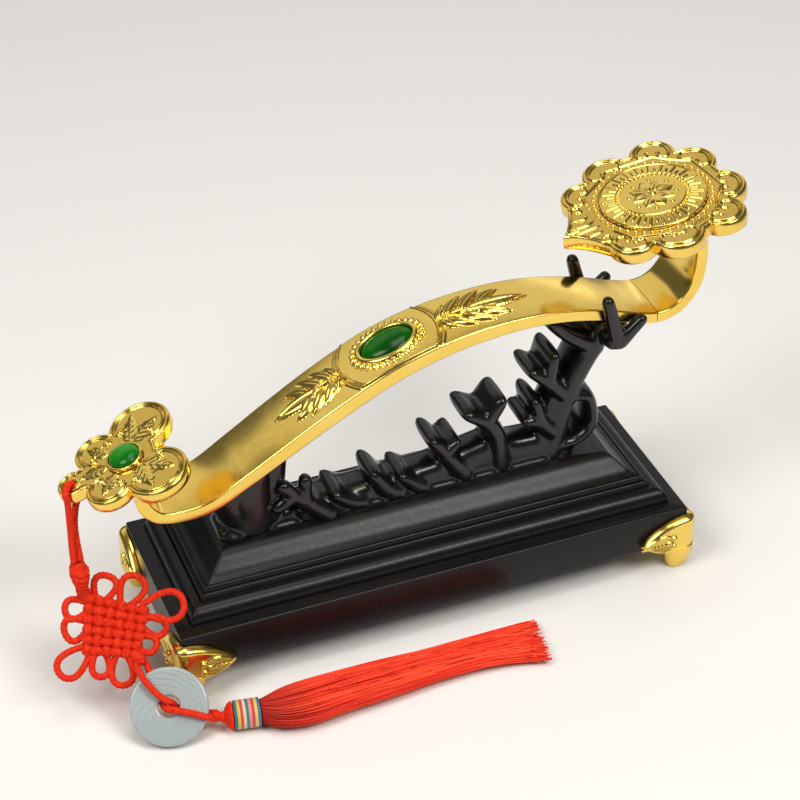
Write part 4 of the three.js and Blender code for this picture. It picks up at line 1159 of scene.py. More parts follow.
stripLine = stripCentre()
stripShare = np.linspace(0, 1, len(stripLine))
stripAhead = np.gradient(stripLine, axis=0)
stripAhead /= np.linalg.norm(stripAhead, axis=1)[:, None]
stripLength = lineLength(stripLine)


def shareAt(x):  # how far along the strip its grip first reaches this x
    reached = np.flatnonzero((stripShare > 0.2) & (stripLine[:, 0] >= x))
    return float(stripShare[reached[0]])


seamShare = shareAt(strip["seam"][0])


def stripAt(share):  # centre, outward direction, width and thickness
    centre = np.array([np.interp(share, stripShare, column) for column in stripLine.T])
    ahead = np.array([np.interp(share, stripShare, column) for column in stripAhead.T])
    swell = math.sin(math.pi * min(1, share / seamShare)) ** 2
    width = strip["endWidth"] + (strip["midWidth"] - strip["endWidth"]) * swell
    thickness = strip["endThickness"] + (strip["midThickness"] - strip["endThickness"]) * swell
    return centre, np.array([-ahead[2], 0, ahead[0]]), width, thickness


def stripRing(share, topCount, relief=None, extra=0.0):
    centre, out, width, thickness = stripAt(share)
    half, wide, edge = thickness / 2 + extra, width / 2 + extra, strip["edge"]

    def rounded(sideY, sideZ, start, end):
        y, z = sideY * (wide - edge), sideZ * (half - edge)
        turns = np.radians(np.linspace(start, end, 5))
        return [(y + edge * math.cos(turn), z + edge * math.sin(turn)) for turn in turns]

    y = np.linspace(wide - edge, -wide + edge, topCount)
    lift = half + strip["crown"] * (1 - (y / wide) ** 2)
    if relief is not None:
        lift = lift + relief
    section = np.array([
        *rounded(-1, -1, 180, 270), (-wide / 3, -half), (wide / 3, -half), *rounded(1, -1, 270, 360),
        *rounded(1, 1, 0, 75), *zip(y, lift), *rounded(-1, 1, 105, 180),
    ])
    ring = centre + section[:, 1:] * out
    ring[:, 1] = section[:, 0]
    return ring


gripSetting = {
    "place": -7, "stone": (10, 6.5), "stoneHeight": 4.4, "girdle": 1.3, "sink": 1.2,
    "rim": 4.1, "rimLap": 0.4,
    "bezel": [
        (0.3, 0.3), (0.3, 2.5), (0.45, 2.85), (0.8, 3.05), (1.5, 3.0), (2.1, 2.75), (2.4, 2.3), (2.5, 1.8),
        (2.7, 1.6), (4.0, 1.45), (4.1, 1.3), (4.1, 0.3),
    ],
    "gadroons": 30, "gadroon": (0.98, 1.35, 0.95), "gadroonOut": 3.5, "gadroonHeight": 1.6,
}
gripRelief = {
    "from": -60, "to": 60, "step": 0.24, "across": 111, "stepsBefore": 110, "stepsAfter": 36,
    "panelLift": 0.75, "panelEdge": 0.3, "lift": 1.45, "crease": 0.36,
    "collars": [(-18.7, 5.2), (18.8, -4.8)],  # middle place from the stone, and how far its ends lie nearer
    "collarSpan": 13.5, "collarRidges": [(0.0, 0.8, 0.55), (-1.7, 0.55, 0.4)],  # offset, width and lift
    "sprays": [(-19.8, -1, 0.9), (19.6, 1, 1.1)],  # start from the stone, direction, stretch
    "blades": [  # base, pull and tip, each along and aside from the spray's start, then width
        ((9, 0), (20, 0), (30.5, 0), 6.6), ((0, 0), (8, 0), (15, 0), 1.6),
        ((0.5, 0.4), (1.6, 3.8), (4.4, 7.4), 3.0), ((3.2, 0.6), (5.4, 5.2), (10.6, 9.2), 4.2),
        ((8, 0.7), (10.8, 5.8), (17, 9.4), 4.8), ((13.6, 0.8), (16.6, 5.4), (23, 7.2), 4.9),
    ],
}


def settingFrame():
    centre, out, _, thickness = stripAt(shareAt(gripSetting["place"]))
    matrix = shift(*(centre + out * (thickness / 2 + strip["crown"] - gripSetting["sink"])))
    matrix[:3, 0] = (out[2], 0, -out[0])
    matrix[:3, 2] = out
    return matrix


def gripHeights(along, across):  # relief on the grip's top, by place from the stone's centre
    heights = np.zeros_like(along)
    (leftPlace, leftBow), (rightPlace, rightBow) = gripRelief["collars"]
    curve = (across / gripRelief["collarSpan"]) ** 2
    fromLeft = along - (leftPlace + leftBow * curve)
    fromRight = (rightPlace + rightBow * curve) - along
    inside = np.minimum(fromLeft, fromRight)
    edge = gripRelief["panelEdge"]
    heights += gripRelief["panelLift"] * np.clip((inside + edge) / (2 * edge), 0, 1)
    for offset, width, lift in gripRelief["collarRidges"]:
        for gap in (fromLeft - offset, fromRight - offset):
            heights += lift * np.sqrt(np.clip(1 - (gap / width) ** 2, 0, 1))
    share = np.linspace(0, 1, 110)
    bladeLift, crease = gripRelief["lift"], gripRelief["crease"]
    for start, direction, stretch in gripRelief["sprays"]:
        for base, pull, tip, width in gripRelief["blades"]:
            for side in (1, -1) if tip[1] else (1,):
                run = start + direction * stretch * bend(base[0], pull[0], tip[0], share)
                aside = side * bend(base[1], pull[1], tip[1], share)
                blade = np.column_stack([run, aside])
                reliefBlade(heights, along, across, blade, width, bladeLift, 0, crease)
    rim, lap = gripSetting["rim"], gripSetting["rimLap"]
    halfLength, halfWidth = [size + rim - lap for size in gripSetting["stone"]]
    sunk = (along / halfLength) ** 2 + (across / halfWidth) ** 2 < 1
    heights[sunk] = -gripSetting["sink"]
    return heights


def makeHandle():
    start, end = shareAt(gripRelief["from"]), shareAt(gripRelief["to"])
    last = seamShare - strip["seamGap"] / 2 / stripLength
    fine = int((end - start) * stripLength / gripRelief["step"])
    shares = np.concatenate([
        np.linspace(0, start, gripRelief["stepsBefore"], endpoint=False),
        np.linspace(start, end, fine, endpoint=False), np.linspace(end, last, gripRelief["stepsAfter"]),
    ])
    middle = shareAt(gripSetting["place"])
    count = gripRelief["across"]
    along = np.repeat((shares - middle) * stripLength, count)
    across = np.concatenate([
        np.linspace(1, -1, count) * (stripAt(share)[2] / 2 - strip["edge"]) for share in shares
    ])
    heights = gripHeights(along, across).reshape(len(shares), count)
    fade = np.clip((1 - np.abs(np.linspace(1, -1, count))) / 0.03, 0, 1)
    rings = [stripRing(share, count, relief * fade) for share, relief in zip(shares, heights)]
    return makePiece("handlePiece", [closedLoft(rings)], gilt, "sceptre", ["handle"], crease=60)


def makeNeck():
    first = seamShare + strip["seamGap"] / 2 / stripLength
    rings = [stripRing(share, 25) for share in np.linspace(first, 1, 150)]
    return makePiece("neckPiece", [closedLoft(rings)], gilt, "sceptre", ["neck"], crease=60)


makeHandle()
makeNeck()
print("grip and neck made")


def beadTree():  # beads set round an oval
    tree, given, outgoing = newTree("beadRing", [
        ("Half length", "Float"), ("Half width", "Float"), ("Count", "Int"), ("Bead size", "Vector"),
        ("Height", "Float"), ("Finish", "Material"),
    ])
    circle = addNode(tree, "GeometryNodeCurvePrimitiveCircle", {"Resolution": 240, "Radius": 1.0})
    halves = {"X": given["Half length"], "Y": given["Half width"], "Z": 1.0}
    size = addNode(tree, "ShaderNodeCombineXYZ", halves)
    lift = addNode(tree, "ShaderNodeCombineXYZ", {"Z": given["Height"]})
    oval = addNode(tree, "GeometryNodeTransform", {
        "Geometry": circle.outputs[0], "Scale": size.outputs[0], "Translation": lift.outputs[0],
    })
    places = addNode(tree, "GeometryNodeResampleCurve", {"Curve": oval.outputs[0], "Count": given["Count"]})
    bead = addNode(tree, "GeometryNodeMeshIcoSphere", {"Radius": 1.0, "Subdivisions": 3})
    heading = addNode(tree, "GeometryNodeInputTangent", {})
    aligned = addNode(tree, "FunctionNodeAlignRotationToVector", {"Vector": heading.outputs[0]},
                      axis="X", pivot_axis="Z")
    many = addNode(tree, "GeometryNodeInstanceOnPoints", {
        "Points": places.outputs[0], "Instance": bead.outputs[0], "Rotation": aligned.outputs[0],
        "Scale": given["Bead size"],
    })
    finishTree(tree, outgoing, many.outputs[0], given["Finish"])
    return tree


beadRing = beadTree()


def makeBeads(name, place, halfLength, halfWidth, count, size, height):
    values = {
        "Half length": halfLength * mm, "Half width": halfWidth * mm, "Count": count,
        "Bead size": [part * mm for part in size], "Height": height * mm, "Finish": beadHighlightGilt,
    }
    return addPiece(name, growMesh(name, beadRing, values, place=place), None, "sceptre")


def domeShell(halfLength, halfWidth, low, girdle, height):
    turn = fullTurn(96)
    rows = [(1 - 0.04, low), (1, low + 0.2), (1, girdle)]
    for angle in np.radians(np.linspace(6, 89, 22)):
        rows.append((math.cos(angle), girdle + (height - girdle) * math.sin(angle)))
    return closedLoft([ovalRing(turn, halfLength * scale, halfWidth * scale, z) for scale, z in rows])


def makeSetting(name, place, stone, finish, bezel):  # a domed stone in its bezel
    halfLength, halfWidth, girdle, height = stone
    dome = domeShell(halfLength, halfWidth, seatGap, girdle, height)
    makePiece(name + "Stone", [dome], finish, "sceptre", [name + "_stone"], place)
    band = ovalBand(halfLength, halfWidth, bezel)
    makePiece(name + "Bezel", [band], gilt, "sceptre", [name + "_bezel"], place, 50)


def makeGripSetting():
    place = settingFrame()
    stone = (*gripSetting["stone"], gripSetting["girdle"], gripSetting["stoneHeight"])
    makeSetting("grip", place, stone, gripGreen, gripSetting["bezel"])
    halfLength, halfWidth = [size + gripSetting["gadroonOut"] for size in gripSetting["stone"]]
    makeBeads("gripGadroons", place, halfLength, halfWidth, gripSetting["gadroons"], gripSetting["gadroon"],
              gripSetting["gadroonHeight"])


makeGripSetting()


# Head plate and tail plate

def lobedReach(plate, angles):  # how far the outline lies from the centre at each angle
    heading = np.column_stack([np.cos(angles), np.sin(angles)])
    reach = np.full(len(angles), float(plate["core"]))
    discs = [(along, side * across, radius) for along, across, radius in plate["lobes"] for side in (-1, 1)]
    if "tipRadius" in plate:
        discs.append((-plate["tip"], 0, plate["tipRadius"]))
    for x, y, radius in discs:
        forward = heading @ (x, y)
        off = radius**2 - (heading @ (-y, x)) ** 2
        far = np.maximum(reach, forward + np.sqrt(np.clip(off, 0, None)))
        reach = np.where((off > 0) & (forward > 0), far, reach)
    return reach


def polygonReach(angles, outline):  # the same for a polygon round the centre, given in order of its angles
    reach = np.zeros(len(angles))
    for start, end in zip(outline, np.roll(outline, -1, axis=0)):
        edge = end - start
        for i, angle in enumerate(angles):
            heading = unit(angle)
            spread = heading[0] * edge[1] - heading[1] * edge[0]
            if abs(spread) < 1e-9:
                continue
            far = (start[0] * edge[1] - start[1] * edge[0]) / spread
            share = (start[0] * heading[1] - start[1] * heading[0]) / spread
            if far > 0 and -1e-9 <= share <= 1 + 1e-9:
                reach[i] = max(reach[i], far)
    return reach


def headOutline(angles):
    tip, shoulder = np.array([-headPlate["tip"], 0]), np.array(headPlate["shoulder"])
    upper = bend(tip, tip + headPlate["tipPull"], shoulder, np.linspace(0, 1, 9)[:, None])
    outline = np.vstack([upper[::-1], upper[1:] * (1, -1), [(0, -shoulder[1])], [(0, shoulder[1])]])
    filled = np.where(np.cos(angles) > headPlate["notchEnd"], headPlate["notch"], 0)
    return np.maximum(np.maximum(lobedReach(headPlate, angles), polygonReach(angles, outline)), filled)


def tailOutline(angles):
    narrow, wide = tailPlate["waist"]
    outline = np.array([(0, wide), (-tailPlate["tip"], narrow), (-tailPlate["tip"], -narrow), (0, -wide)])
    return np.maximum(lobedReach(tailPlate, angles), polygonReach(angles, outline))


plateRim = {
    "round": 0.7, "drop": 0.7, "crest": 1.05, "fall": 0.35, "groove": 1.5, "grooveDepth": 0.5, "rise": 0.5,
    "ground": 0.34, "shade": 0.6,
}


def plateShell(angles, reach, inner, innerFloor, rows, thickness, drawRelief):
    share = np.linspace(0, 1, rows)[:, None]
    radius = inner + (reach - inner) * share
    x, y = radius * np.cos(angles), radius * np.sin(angles)
    outline = np.column_stack([reach * np.cos(angles), reach * np.sin(angles)])
    heights = drawRelief(x.ravel(), y.ravel(), nearestGap(x.ravel(), y.ravel(), outline)).reshape(x.shape)
    edge = heights[-1].min()
    heights[-1] = edge
    well = [ovalRing(angles, size, size, innerFloor) for size in (0.05, inner * 0.5, inner)]
    top = [np.column_stack(row) for row in zip(x, y, heights)]
    section = [  # scale of the outline and height, from the top's edge round to below
        (1.006, edge - 0.5), (1.01, -thickness * 0.5), (1.004, -thickness + 0.6), (0.99, -thickness + 0.1),
        (0.97, -thickness), (0.5, -thickness), (0.002, -thickness),
    ]
    sides = [np.column_stack([outline * scale, np.full(len(angles), height)]) for scale, height in section]
    # painted shade: the deeper a place lies below the border, the more the gilt there is darkened
    sunk = np.clip(-heights / plateRim["shade"], 0, 1) ** 1.5
    sunk[share[:, 0] > 0.985] = 0
    before, after = len(well) * len(angles), len(sides) * len(angles) + 2
    hollowShade = np.concatenate([np.zeros(before), sunk.ravel(), np.zeros(after)])
    return closedLoft(well + top + sides), hollowShade


def rimHeights(gap):  # rounded edge, raised border and the sunk ground inside it
    edge = -plateRim["drop"] * np.clip(1 - gap / plateRim["round"], 0, 1) ** 2
    inside = np.clip((gap - plateRim["crest"]) / plateRim["fall"], 0, 1)
    risen = np.clip((gap - plateRim["groove"]) / plateRim["rise"], 0, 1)
    deep = plateRim["grooveDepth"] - (plateRim["grooveDepth"] - plateRim["ground"]) * risen
    return edge - inside * deep


headScrolls = {
    "inset": 2.4, "curl": 0.4, "eyeRing": 26.6, "halfWidth": 0.75, "lift": 0.66, "hook": (200, 0.3),
    "hookEnd": 1.05, "notches": [0, 40.6, 79.6, 120.1, 158], "notchRing": 23.1, "peakRing": 24.9,
    "bracket": (0.7, 0.6),  # half width and lift
    "vine": [(-35, 1.7), (-32.4, 4.6), (-30, 8.4), (-28.6, 11.2)], "vineHalf": 0.85,
    "volute": (-25.8, 10.2, 2.5, 165, 0.8),  # centre, size, start and turns
    "blades": [  # base, pull, tip and width of the tip's smooth leaves
        ((-23.8, 2.2), (-28, 0.6), (-33.4, 2.2), 2.7), ((-24.2, 5.6), (-27.4, 4.4), (-30.4, 6.2), 2.5),
    ],
    "bladeCrease": 0.2, "rib": (-35.4, -31.4, 0.95),  # from, to and half width
}


def drawLobeScrolls(heights, x, y):
    width, lift, ground = headScrolls["halfWidth"], headScrolls["lift"], -plateRim["ground"]
    for along, across, radius in headPlate["lobes"]:
        turn = math.atan2(across, along)
        size = radius - headScrolls["inset"]
        curl = size * headScrolls["curl"]
        sunk = (headScrolls["eyeRing"] - math.hypot(along, across)) / (size - curl)
        reach = math.degrees(math.acos(min(0.5, max(-0.35, sunk))))
        for side in (-1, 1):
            centre, outward = np.array([along, side * across]), side * turn
            for hand in (-1, 1):
                scroll = lobeScroll(centre, outward, size, reach, curl, headScrolls["hook"], hand)[0]
                reliefRidge(heights, x, y, scroll, width, lift, ground)
                reliefRidge(heights, x, y, scroll[-1:], headScrolls["hookEnd"], lift, ground)


def drawBrackets(heights, x, y):  # pointed lines between the medallion and the lobes
    notches = np.radians(headScrolls["notches"])
    peaks = sorted(math.atan2(across, along) for along, across, _ in headPlate["lobes"])
    share = np.linspace(0, 1, 60)
    reach = headScrolls["notchRing"] + (headScrolls["peakRing"] - headScrolls["notchRing"]) * share**2
    for i, peak in enumerate(peaks):
        for notch in (notches[i], notches[i + 1]):
            turn = notch + (peak - notch) * share
            for side in (-1, 1):
                bracket = np.column_stack([reach * np.cos(turn), side * reach * np.sin(turn)])
                reliefRidge(heights, x, y, bracket, *headScrolls["bracket"], -plateRim["ground"])


def drawTipLeaves(heights, x, y):
    width, lift, ground = headScrolls["halfWidth"], headScrolls["lift"], -plateRim["ground"]
    share = np.linspace(0, 1, 60)
    curlX, curlY, curlSize, curlStart, curlTurns = headScrolls["volute"]
    for side in (-1, 1):
        vine = smoothLine(np.array(headScrolls["vine"]) * (1, side), 80)
        reliefRidge(heights, x, y, vine, headScrolls["vineHalf"], lift, ground)
        volute = spiral((curlX, side * curlY), curlSize, side * curlStart, curlTurns, -side)
        reliefRidge(heights, x, y, volute, width, lift, ground)
        for base, pull, tip, bladeWidth in headScrolls["blades"]:
            run = bend(base[0], pull[0], tip[0], share)
            aside = side * bend(base[1], pull[1], tip[1], share)
            blade = np.column_stack([run, aside])
            reliefBlade(heights, x, y, blade, bladeWidth, lift, ground, headScrolls["bladeCrease"])
    start, end, ribWidth = headScrolls["rib"]
    rib = np.column_stack([np.linspace(start, end, 40), np.zeros(40)])
    reliefRidge(heights, x, y, rib, ribWidth, lift, ground)


def headRelief(x, y, gap):
    heights = rimHeights(gap)
    for draw in (drawLobeScrolls, drawBrackets, drawTipLeaves):
        draw(heights, x, y)
    return heights


headBeads = {"ring": 21.3, "count": 44, "size": (0.7, 0.7, 0.66), "height": -0.1}


def makeHead():
    place = plateFrame(headPlate)
    angles = fullTurn(960)
    outline = headOutline(angles)
    inner, floor = headPlate["medallion"] + seatGap, -headPlate["seat"]
    shell, hollowShade = plateShell(angles, outline, inner, floor, 88, headPlate["thickness"], headRelief)
    makePiece("headPlate", [shell], gilt, "sceptre", ["head_plate"], place, 60, hollowShade)
    ring, count = headBeads["ring"], headBeads["count"]
    makeBeads("headBeads", place, ring, ring, count, headBeads["size"], headBeads["height"])


medallion = {
    "low": -0.7, "top": 1.15, "edge": 0.35, "rim": 0.9, "rimLift": 0.35, "rimFall": 0.5,
    "petals": 8, "petal": (1.5, 8.2, 5.0), "petalLift": 0.7, "petalCrease": 0.2,
    "boss": (2.2, 1.0), "dotRing": 8.6, "dot": (0.95, 0.45),  # half width and lift
    "beads": (12.6, 46, 0.55), "beadHeight": 0.75, "groove": (0.8, 0.3),
    "rays": 46, "rayStart": 13.8, "rayEnds": (18.1, 16.2), "ray": (0.66, 0.45),
}


def medallionHeights(x, y):
    radius = np.hypot(x, y)
    top, edge, outer = medallion["top"], medallion["edge"], headPlate["medallion"]
    heights = edge + (top - edge) * (1 - (radius / outer) ** 2)
    rim = np.clip((radius - (outer - medallion["rim"])) / medallion["rim"], 0, 1)
    swell = medallion["rimLift"] * np.sin(np.pi * np.clip(rim * 1.2, 0, 1)) - medallion["rimFall"] * rim**4
    heights += np.where(rim > 0, swell, 0)
    grooveHalf, grooveDepth = medallion["groove"]
    heights -= grooveDepth * np.clip(1 - np.abs(radius - medallion["beads"][0]) / grooveHalf, 0, 1) ** 0.5
    raised = np.zeros(len(x))
    start, end, width = medallion["petal"]
    for petal in range(medallion["petals"]):
        turn = 2 * np.pi * petal / medallion["petals"]
        line = np.outer(np.linspace(start, end, 80), unit(turn))
        reliefBlade(raised, x, y, line, width, medallion["petalLift"], 0, medallion["petalCrease"])
        dot = medallion["dotRing"] * unit(turn + np.pi / medallion["petals"])
        reliefRidge(raised, x, y, dot[None, :], *medallion["dot"], 0)
    reliefRidge(raised, x, y, np.array([[0.0, 0.0]]), *medallion["boss"], 0)
    for ray in range(medallion["rays"]):
        gone = np.linspace(medallion["rayStart"], medallion["rayEnds"][ray % 2], 30)
        line = np.outer(gone, unit(2 * np.pi * ray / medallion["rays"]))
        reliefRidge(raised, x, y, line, *medallion["ray"], 0)
    return heights + raised


def makeMedallion():
    place = plateFrame(headPlate)
    sides, rows = 720, 90
    turn = fullTurn(sides)
    radius = np.linspace(0.05, headPlate["medallion"], rows)
    x, y = np.outer(radius, np.cos(turn)), np.outer(radius, np.sin(turn))
    z = medallionHeights(x.ravel(), y.ravel()).reshape(x.shape)
    rings = [np.column_stack(row) for row in zip(x, y, z)]
    for scale in (1.0, 0.98, 0.01):
        rings.append(np.column_stack([x[-1] * scale, y[-1] * scale, np.full(sides, medallion["low"])]))
    shells = [closedLoft(rings)]
    makePiece("headMedallion", shells, gilt, "sceptre", ["head_medallion"], place, 60)
    ring, count, size = medallion["beads"]
    makeBeads("medallionBeads", place, ring, ring, count, (size, size, size), medallion["beadHeight"])


tailScrolls = {
    "inset": 2.3, "halfWidth": 0.62, "lift": 0.6, "eye": 0.95, "eyeStep": 2.3,
    "curls": [(108, 1.5), (118, 1.8)], "hook": (240, 0.5),
    "sprays": [  # lobe, turn from its direction, start, length and width of each leaf
        (0, 0, 7.4, 10, 6.6), (1, 19, 7.2, 14.4, 7.8), (1, -25, 7.2, 13.6, 7.8),
    ],
    "tipLeaf": (-6.9, 0, 180, 10.6, 6.4), "leafLift": 0.62,
    "holeRim": (1.3, -0.15),  # width and height
}


def tailRelief(x, y, gap):
    heights = rimHeights(gap)
    ground = -plateRim["ground"]
    lift = tailScrolls["lift"]
    for side in (-1, 1):
        for (along, across, radius), (reach, curl) in zip(tailPlate["lobes"], tailScrolls["curls"]):
            centre = np.array([along, side * across])
            outward = math.atan2(side * across, along)
            size = radius - tailScrolls["inset"]
            for hand in (-1, 1):
                scroll, eye = lobeScroll(centre, outward, size, reach, curl, tailScrolls["hook"], hand)
                reliefRidge(heights, x, y, scroll, tailScrolls["halfWidth"], lift, ground)
                inward = eye + (centre - eye) / np.linalg.norm(centre - eye) * tailScrolls["eyeStep"]
                for spot in (eye, inward):
                    reliefRidge(heights, x, y, spot[None, :], tailScrolls["eye"], lift, ground)
        for lobe, turned, start, length, width in tailScrolls["sprays"]:
            along, across, radius = tailPlate["lobes"][lobe]
            outward = math.atan2(side * across, along)
            base = start * unit(outward)
            leaf = (*base, math.degrees(outward) + turned, length, width, tailScrolls["leafLift"])
            reliefLeaf(heights, x, y, leaf, ground)
    reliefLeaf(heights, x, y, (*tailScrolls["tipLeaf"], tailScrolls["leafLift"]), ground)
    rimWidth, rimHeight = tailScrolls["holeRim"]
    tip = np.hypot(x + tailPlate["tip"], y)
    return np.where(tip < tailPlate["hole"] + rimWidth, np.maximum(heights, rimHeight), heights)


tailSetting = {
    "well": (6.2, -0.3),  # radius and floor
    "stone": (5.6, 5.6, 0.7, 3.2),  # half length, half width, girdle and height
    "bezel": [(0.3, 0.0), (0.3, 0.8), (0.45, 1.05), (0.8, 1.1), (1.1, 0.95), (1.3, 0.6), (1.4, -0.2)],
}


def makeTail():
    place = plateFrame(tailPlate)
    angles = fullTurn(800)
    outline = tailOutline(angles)
    shell, hollowShade = plateShell(angles, outline, *tailSetting["well"], 84, tailPlate["thickness"], tailRelief)
    mesh = makeMesh("tailPlate", [shell], place, crease=60, hollowShade=hollowShade)
    hole = tailPlate["hole"]
    profile = [(hole * 0.5, -9), (hole, -8.9), (hole, 4.9), (hole * 0.5, 5)]
    bore = makeMesh("tailDrill", [turnedShell(profile, 40)], place @ shift(-tailPlate["tip"], 0, 0))
    holder, drill = bpy.data.objects.new("tailHolder", mesh), bpy.data.objects.new("tailDrill", bore)
    addPiece("tailPlate", cutAway(holder, [drill], "EXACT"), gilt, "sceptre", ["tail_plate"])
    makeSetting("tail", place, tailSetting["stone"], tailGreen, tailSetting["bezel"])


makeHead()
makeMedallion()
makeTail()
print("head and tail plates made")


# Rack: rounded limbs, each a line of [x, height over the deck, radius], melted into one branch

rack = {
    "halfDepth": 9, "voxel": 0.62, "soften": (0.5, 12), "prongReach": 15.0, "prongHalf": 2.2,
    "wallHalfDepth": 7.2,
    "wall": [
        (-68, 0, 5), (-45, 0, 6.6), (-30, 0, 7.6), (-10, 0, 8.8), (8, 0, 9.8), (14, 0, 11), (22, 0, 12.6),
        (30, 0, 14.2), (35, 0, 13.6), (41, 0, 11.6), (57, 0, 11.1),
    ],
    "bedCut": (-5, -20, 0.02),  # inset, and its two heights from the deck
    "bed": (-72, 60), "fillet": [(9.0, 1.6), (8.3, 2.8), (7.8, 4.2)],  # half depth and height
    "limbs": [
        [(56, 2, 4.8), (59, 17, 4.4), (61, 26, 4.4), (66, 38, 4.8), (72, 49, 5), (75, 54, 4.6)],
        [(71, 47, 4.5), (60, 55, 3.6), (54, 61, 3)], [(74, 51, 4.5), (81, 55, 3.4)],
        [(61, 27, 2.8), (69, 25, 2.8), (71.5, 19, 2.8), (71.5, 11, 2.8), (66, 6, 2.8), (57, 5, 3.2)],
        [(2.5, 0.5, 5.4), (-1.5, 5, 3.6), (-4.4, 7.8, 2.9)],
        [(-7.5, 0.5, 5.8), (-12.5, 6, 4), (-15.8, 11.6, 3.1)],
        [(-21.5, 0.5, 5.4), (-27, 4, 3.8), (-30.3, 6.8, 2.9)],
        [(-36, 1, 4.4), (-38.5, 5.2, 2.7)], [(-43, 1, 4.2), (-45, 5, 2.5)],
    ],
    "stump": [
        [(-62, 0, 10.6), (-62, 3, 10), (-62, 8, 9.2), (-62.5, 15, 9.4), (-62, 25, 8.4)],
        [(-66, 2, 6.4), (-71, 14, 6), (-72.5, 21, 5)], [(-56, 2, 6), (-54, 18, 5.4), (-52, 32, 4.6)],
        [(53.5, 6, 5.4), (55.5, 20, 5), (59.5, 31, 4.8)],
    ],
    "stumpHalfDepth": (9.6, 7.6, 7.6, 7),
    "twigs": [  # on the near side of the stump
        [(-34.5, 1, 3.6), (-41, 7.6, 3.1), (-47.9, 14, 2.9)], [(-47.9, 14, 2.8), (-53.6, 10.6, 2.8)],
        [(-47.9, 14, 2.8), (-51.4, 19, 2.9)], [(-42.6, 9.2, 2.6), (-43.2, 14.5, 2.2), (-43.4, 19.6, 2.7)],
    ],
    "twigDepth": (2.8, -8.9),
    "forks": [  # stem and two tips
        ([(60, 28, 3.8), (53, 36, 3.7)], (47, 41, 2.8), (54.8, 46, 2.8)),
        ([(57, 11, 3.8), (50.5, 18, 3.6)], (45.2, 19.8, 2.7), (48, 27, 2.8)),
        ([(35, 2, 4.6), (33, 16, 4), (29, 24, 4)], (21.8, 28.6, 3), (33.6, 31, 3.4)),
        ([(20, 2, 4.4), (14.5, 10, 3.6), (12.5, 13.5, 3.6)], (7.8, 20.2, 2.8), (16, 17.6, 2.7)),
    ],
    "yoke": (76, 52.5, 3.6),
    "prongs": [[(76, 53.5, 3), (71, 71.8, 2.3)], [(77, 53, 3), (85, 61, 2.2)]],
}


def limbShell(points, halfDepth, y=0.0, boxy=0.74):  # a rounded slab along a line, with round ends
    points = np.asarray(points, dtype=float)
    line = smoothLine(points, 40) if len(points) > 2 else evenLine(points, 24)
    heading = np.gradient(line[:, :2], axis=0)
    heading /= np.linalg.norm(heading, axis=1)[:, None]
    turn = fullTurn(32)
    wide = np.sign(np.cos(turn)) * np.abs(np.cos(turn)) ** boxy
    deep = np.sign(np.sin(turn)) * np.abs(np.sin(turn)) ** boxy

    def ring(centre, ahead, radius, scale):
        aside = np.array([-ahead[1], ahead[0]])
        flat = centre[:2] + np.outer(wide, aside) * radius * scale
        depth = y + deep * (halfDepth - radius * (1 - scale) * 0.6)
        return np.column_stack([flat[:, 0], depth, deckTop + flat[:, 1]])

    def cap(end, way, angle):
        radius, ahead = line[end][2], heading[end]
        return ring(line[end][:2] + way * ahead * radius * math.sin(angle), ahead, radius, math.cos(angle))

    steps = np.radians([86, 70, 50, 28])
    rings = [cap(0, -1, angle) for angle in steps]
    rings += [ring(centre, ahead, centre[2], 1.0) for centre, ahead in zip(line, heading)]
    rings += [cap(-1, 1, angle) for angle in steps[::-1]]
    return closedLoft(rings)


def makeRack():
    depth = rack["halfDepth"]
    shells = [limbShell(rack["wall"], rack["wallHalfDepth"], boxy=0.55)]
    for half, height in rack["fillet"]:
        shells.append(limbShell([(x, 0, height) for x in rack["bed"]], half))
    shells += [limbShell(limb, depth) for limb in rack["limbs"]]
    for limb, half in zip(rack["stump"], rack["stumpHalfDepth"]):
        shells.append(limbShell(limb, half, boxy=0.95))
    shells += [limbShell(twig, *rack["twigDepth"], boxy=1.0) for twig in rack["twigs"]]
    for stem, left, right in rack["forks"]:
        shells.append(limbShell(stem, depth))
        shells += [limbShell([stem[-1], tip], depth) for tip in (left, right)]
    x, z, radius = rack["yoke"]
    reach, prongHalf = rack["prongReach"], rack["prongHalf"]
    shells.append(limbShell([(x - 1, z, radius), (x + 1, z, radius)], reach + prongHalf))
    for side in (-1, 1):
        shells += [limbShell(prong, prongHalf, side * reach) for prong in rack["prongs"]]
    holder = bpy.data.objects.new("rackHolder", makeMesh("rackLimbs", shells))
    melt = holder.modifiers.new("melt", "REMESH")
    melt.mode = "VOXEL"
    melt.voxel_size = rack["voxel"] * mm
    melt.use_smooth_shade = True
    soft = holder.modifiers.new("soften", "SMOOTH")
    soft.factor, soft.iterations = rack["soften"]
    shares = [*np.linspace(0, seamShare, 160), *np.linspace(seamShare, 1, 60)]
    bedInset, *bedHeights = rack["bedCut"]
    bed = [frameRing(bedInset, deckTop + height) for height in bedHeights]
    seat = [stripRing(share, 9, extra=seatGap) for share in shares]
    cutters = []
    for name, rings in (("rackBed", bed), ("rackSeat", seat)):
        cutters.append(bpy.data.objects.new(name, makeMesh(name, [closedLoft(rings)])))
    mesh = cutAway(holder, cutters, "MANIFOLD")
    mesh.shade_smooth()
    mesh.set_sharp_from_angle(angle=math.radians(55))
    return addPiece("branchRack", mesh, glossBlack, "stand", ["branch_rack"])


makeRack()
print("rack made")


# Feet: a leaf wrapped round each corner of the plinth, with a toe under it

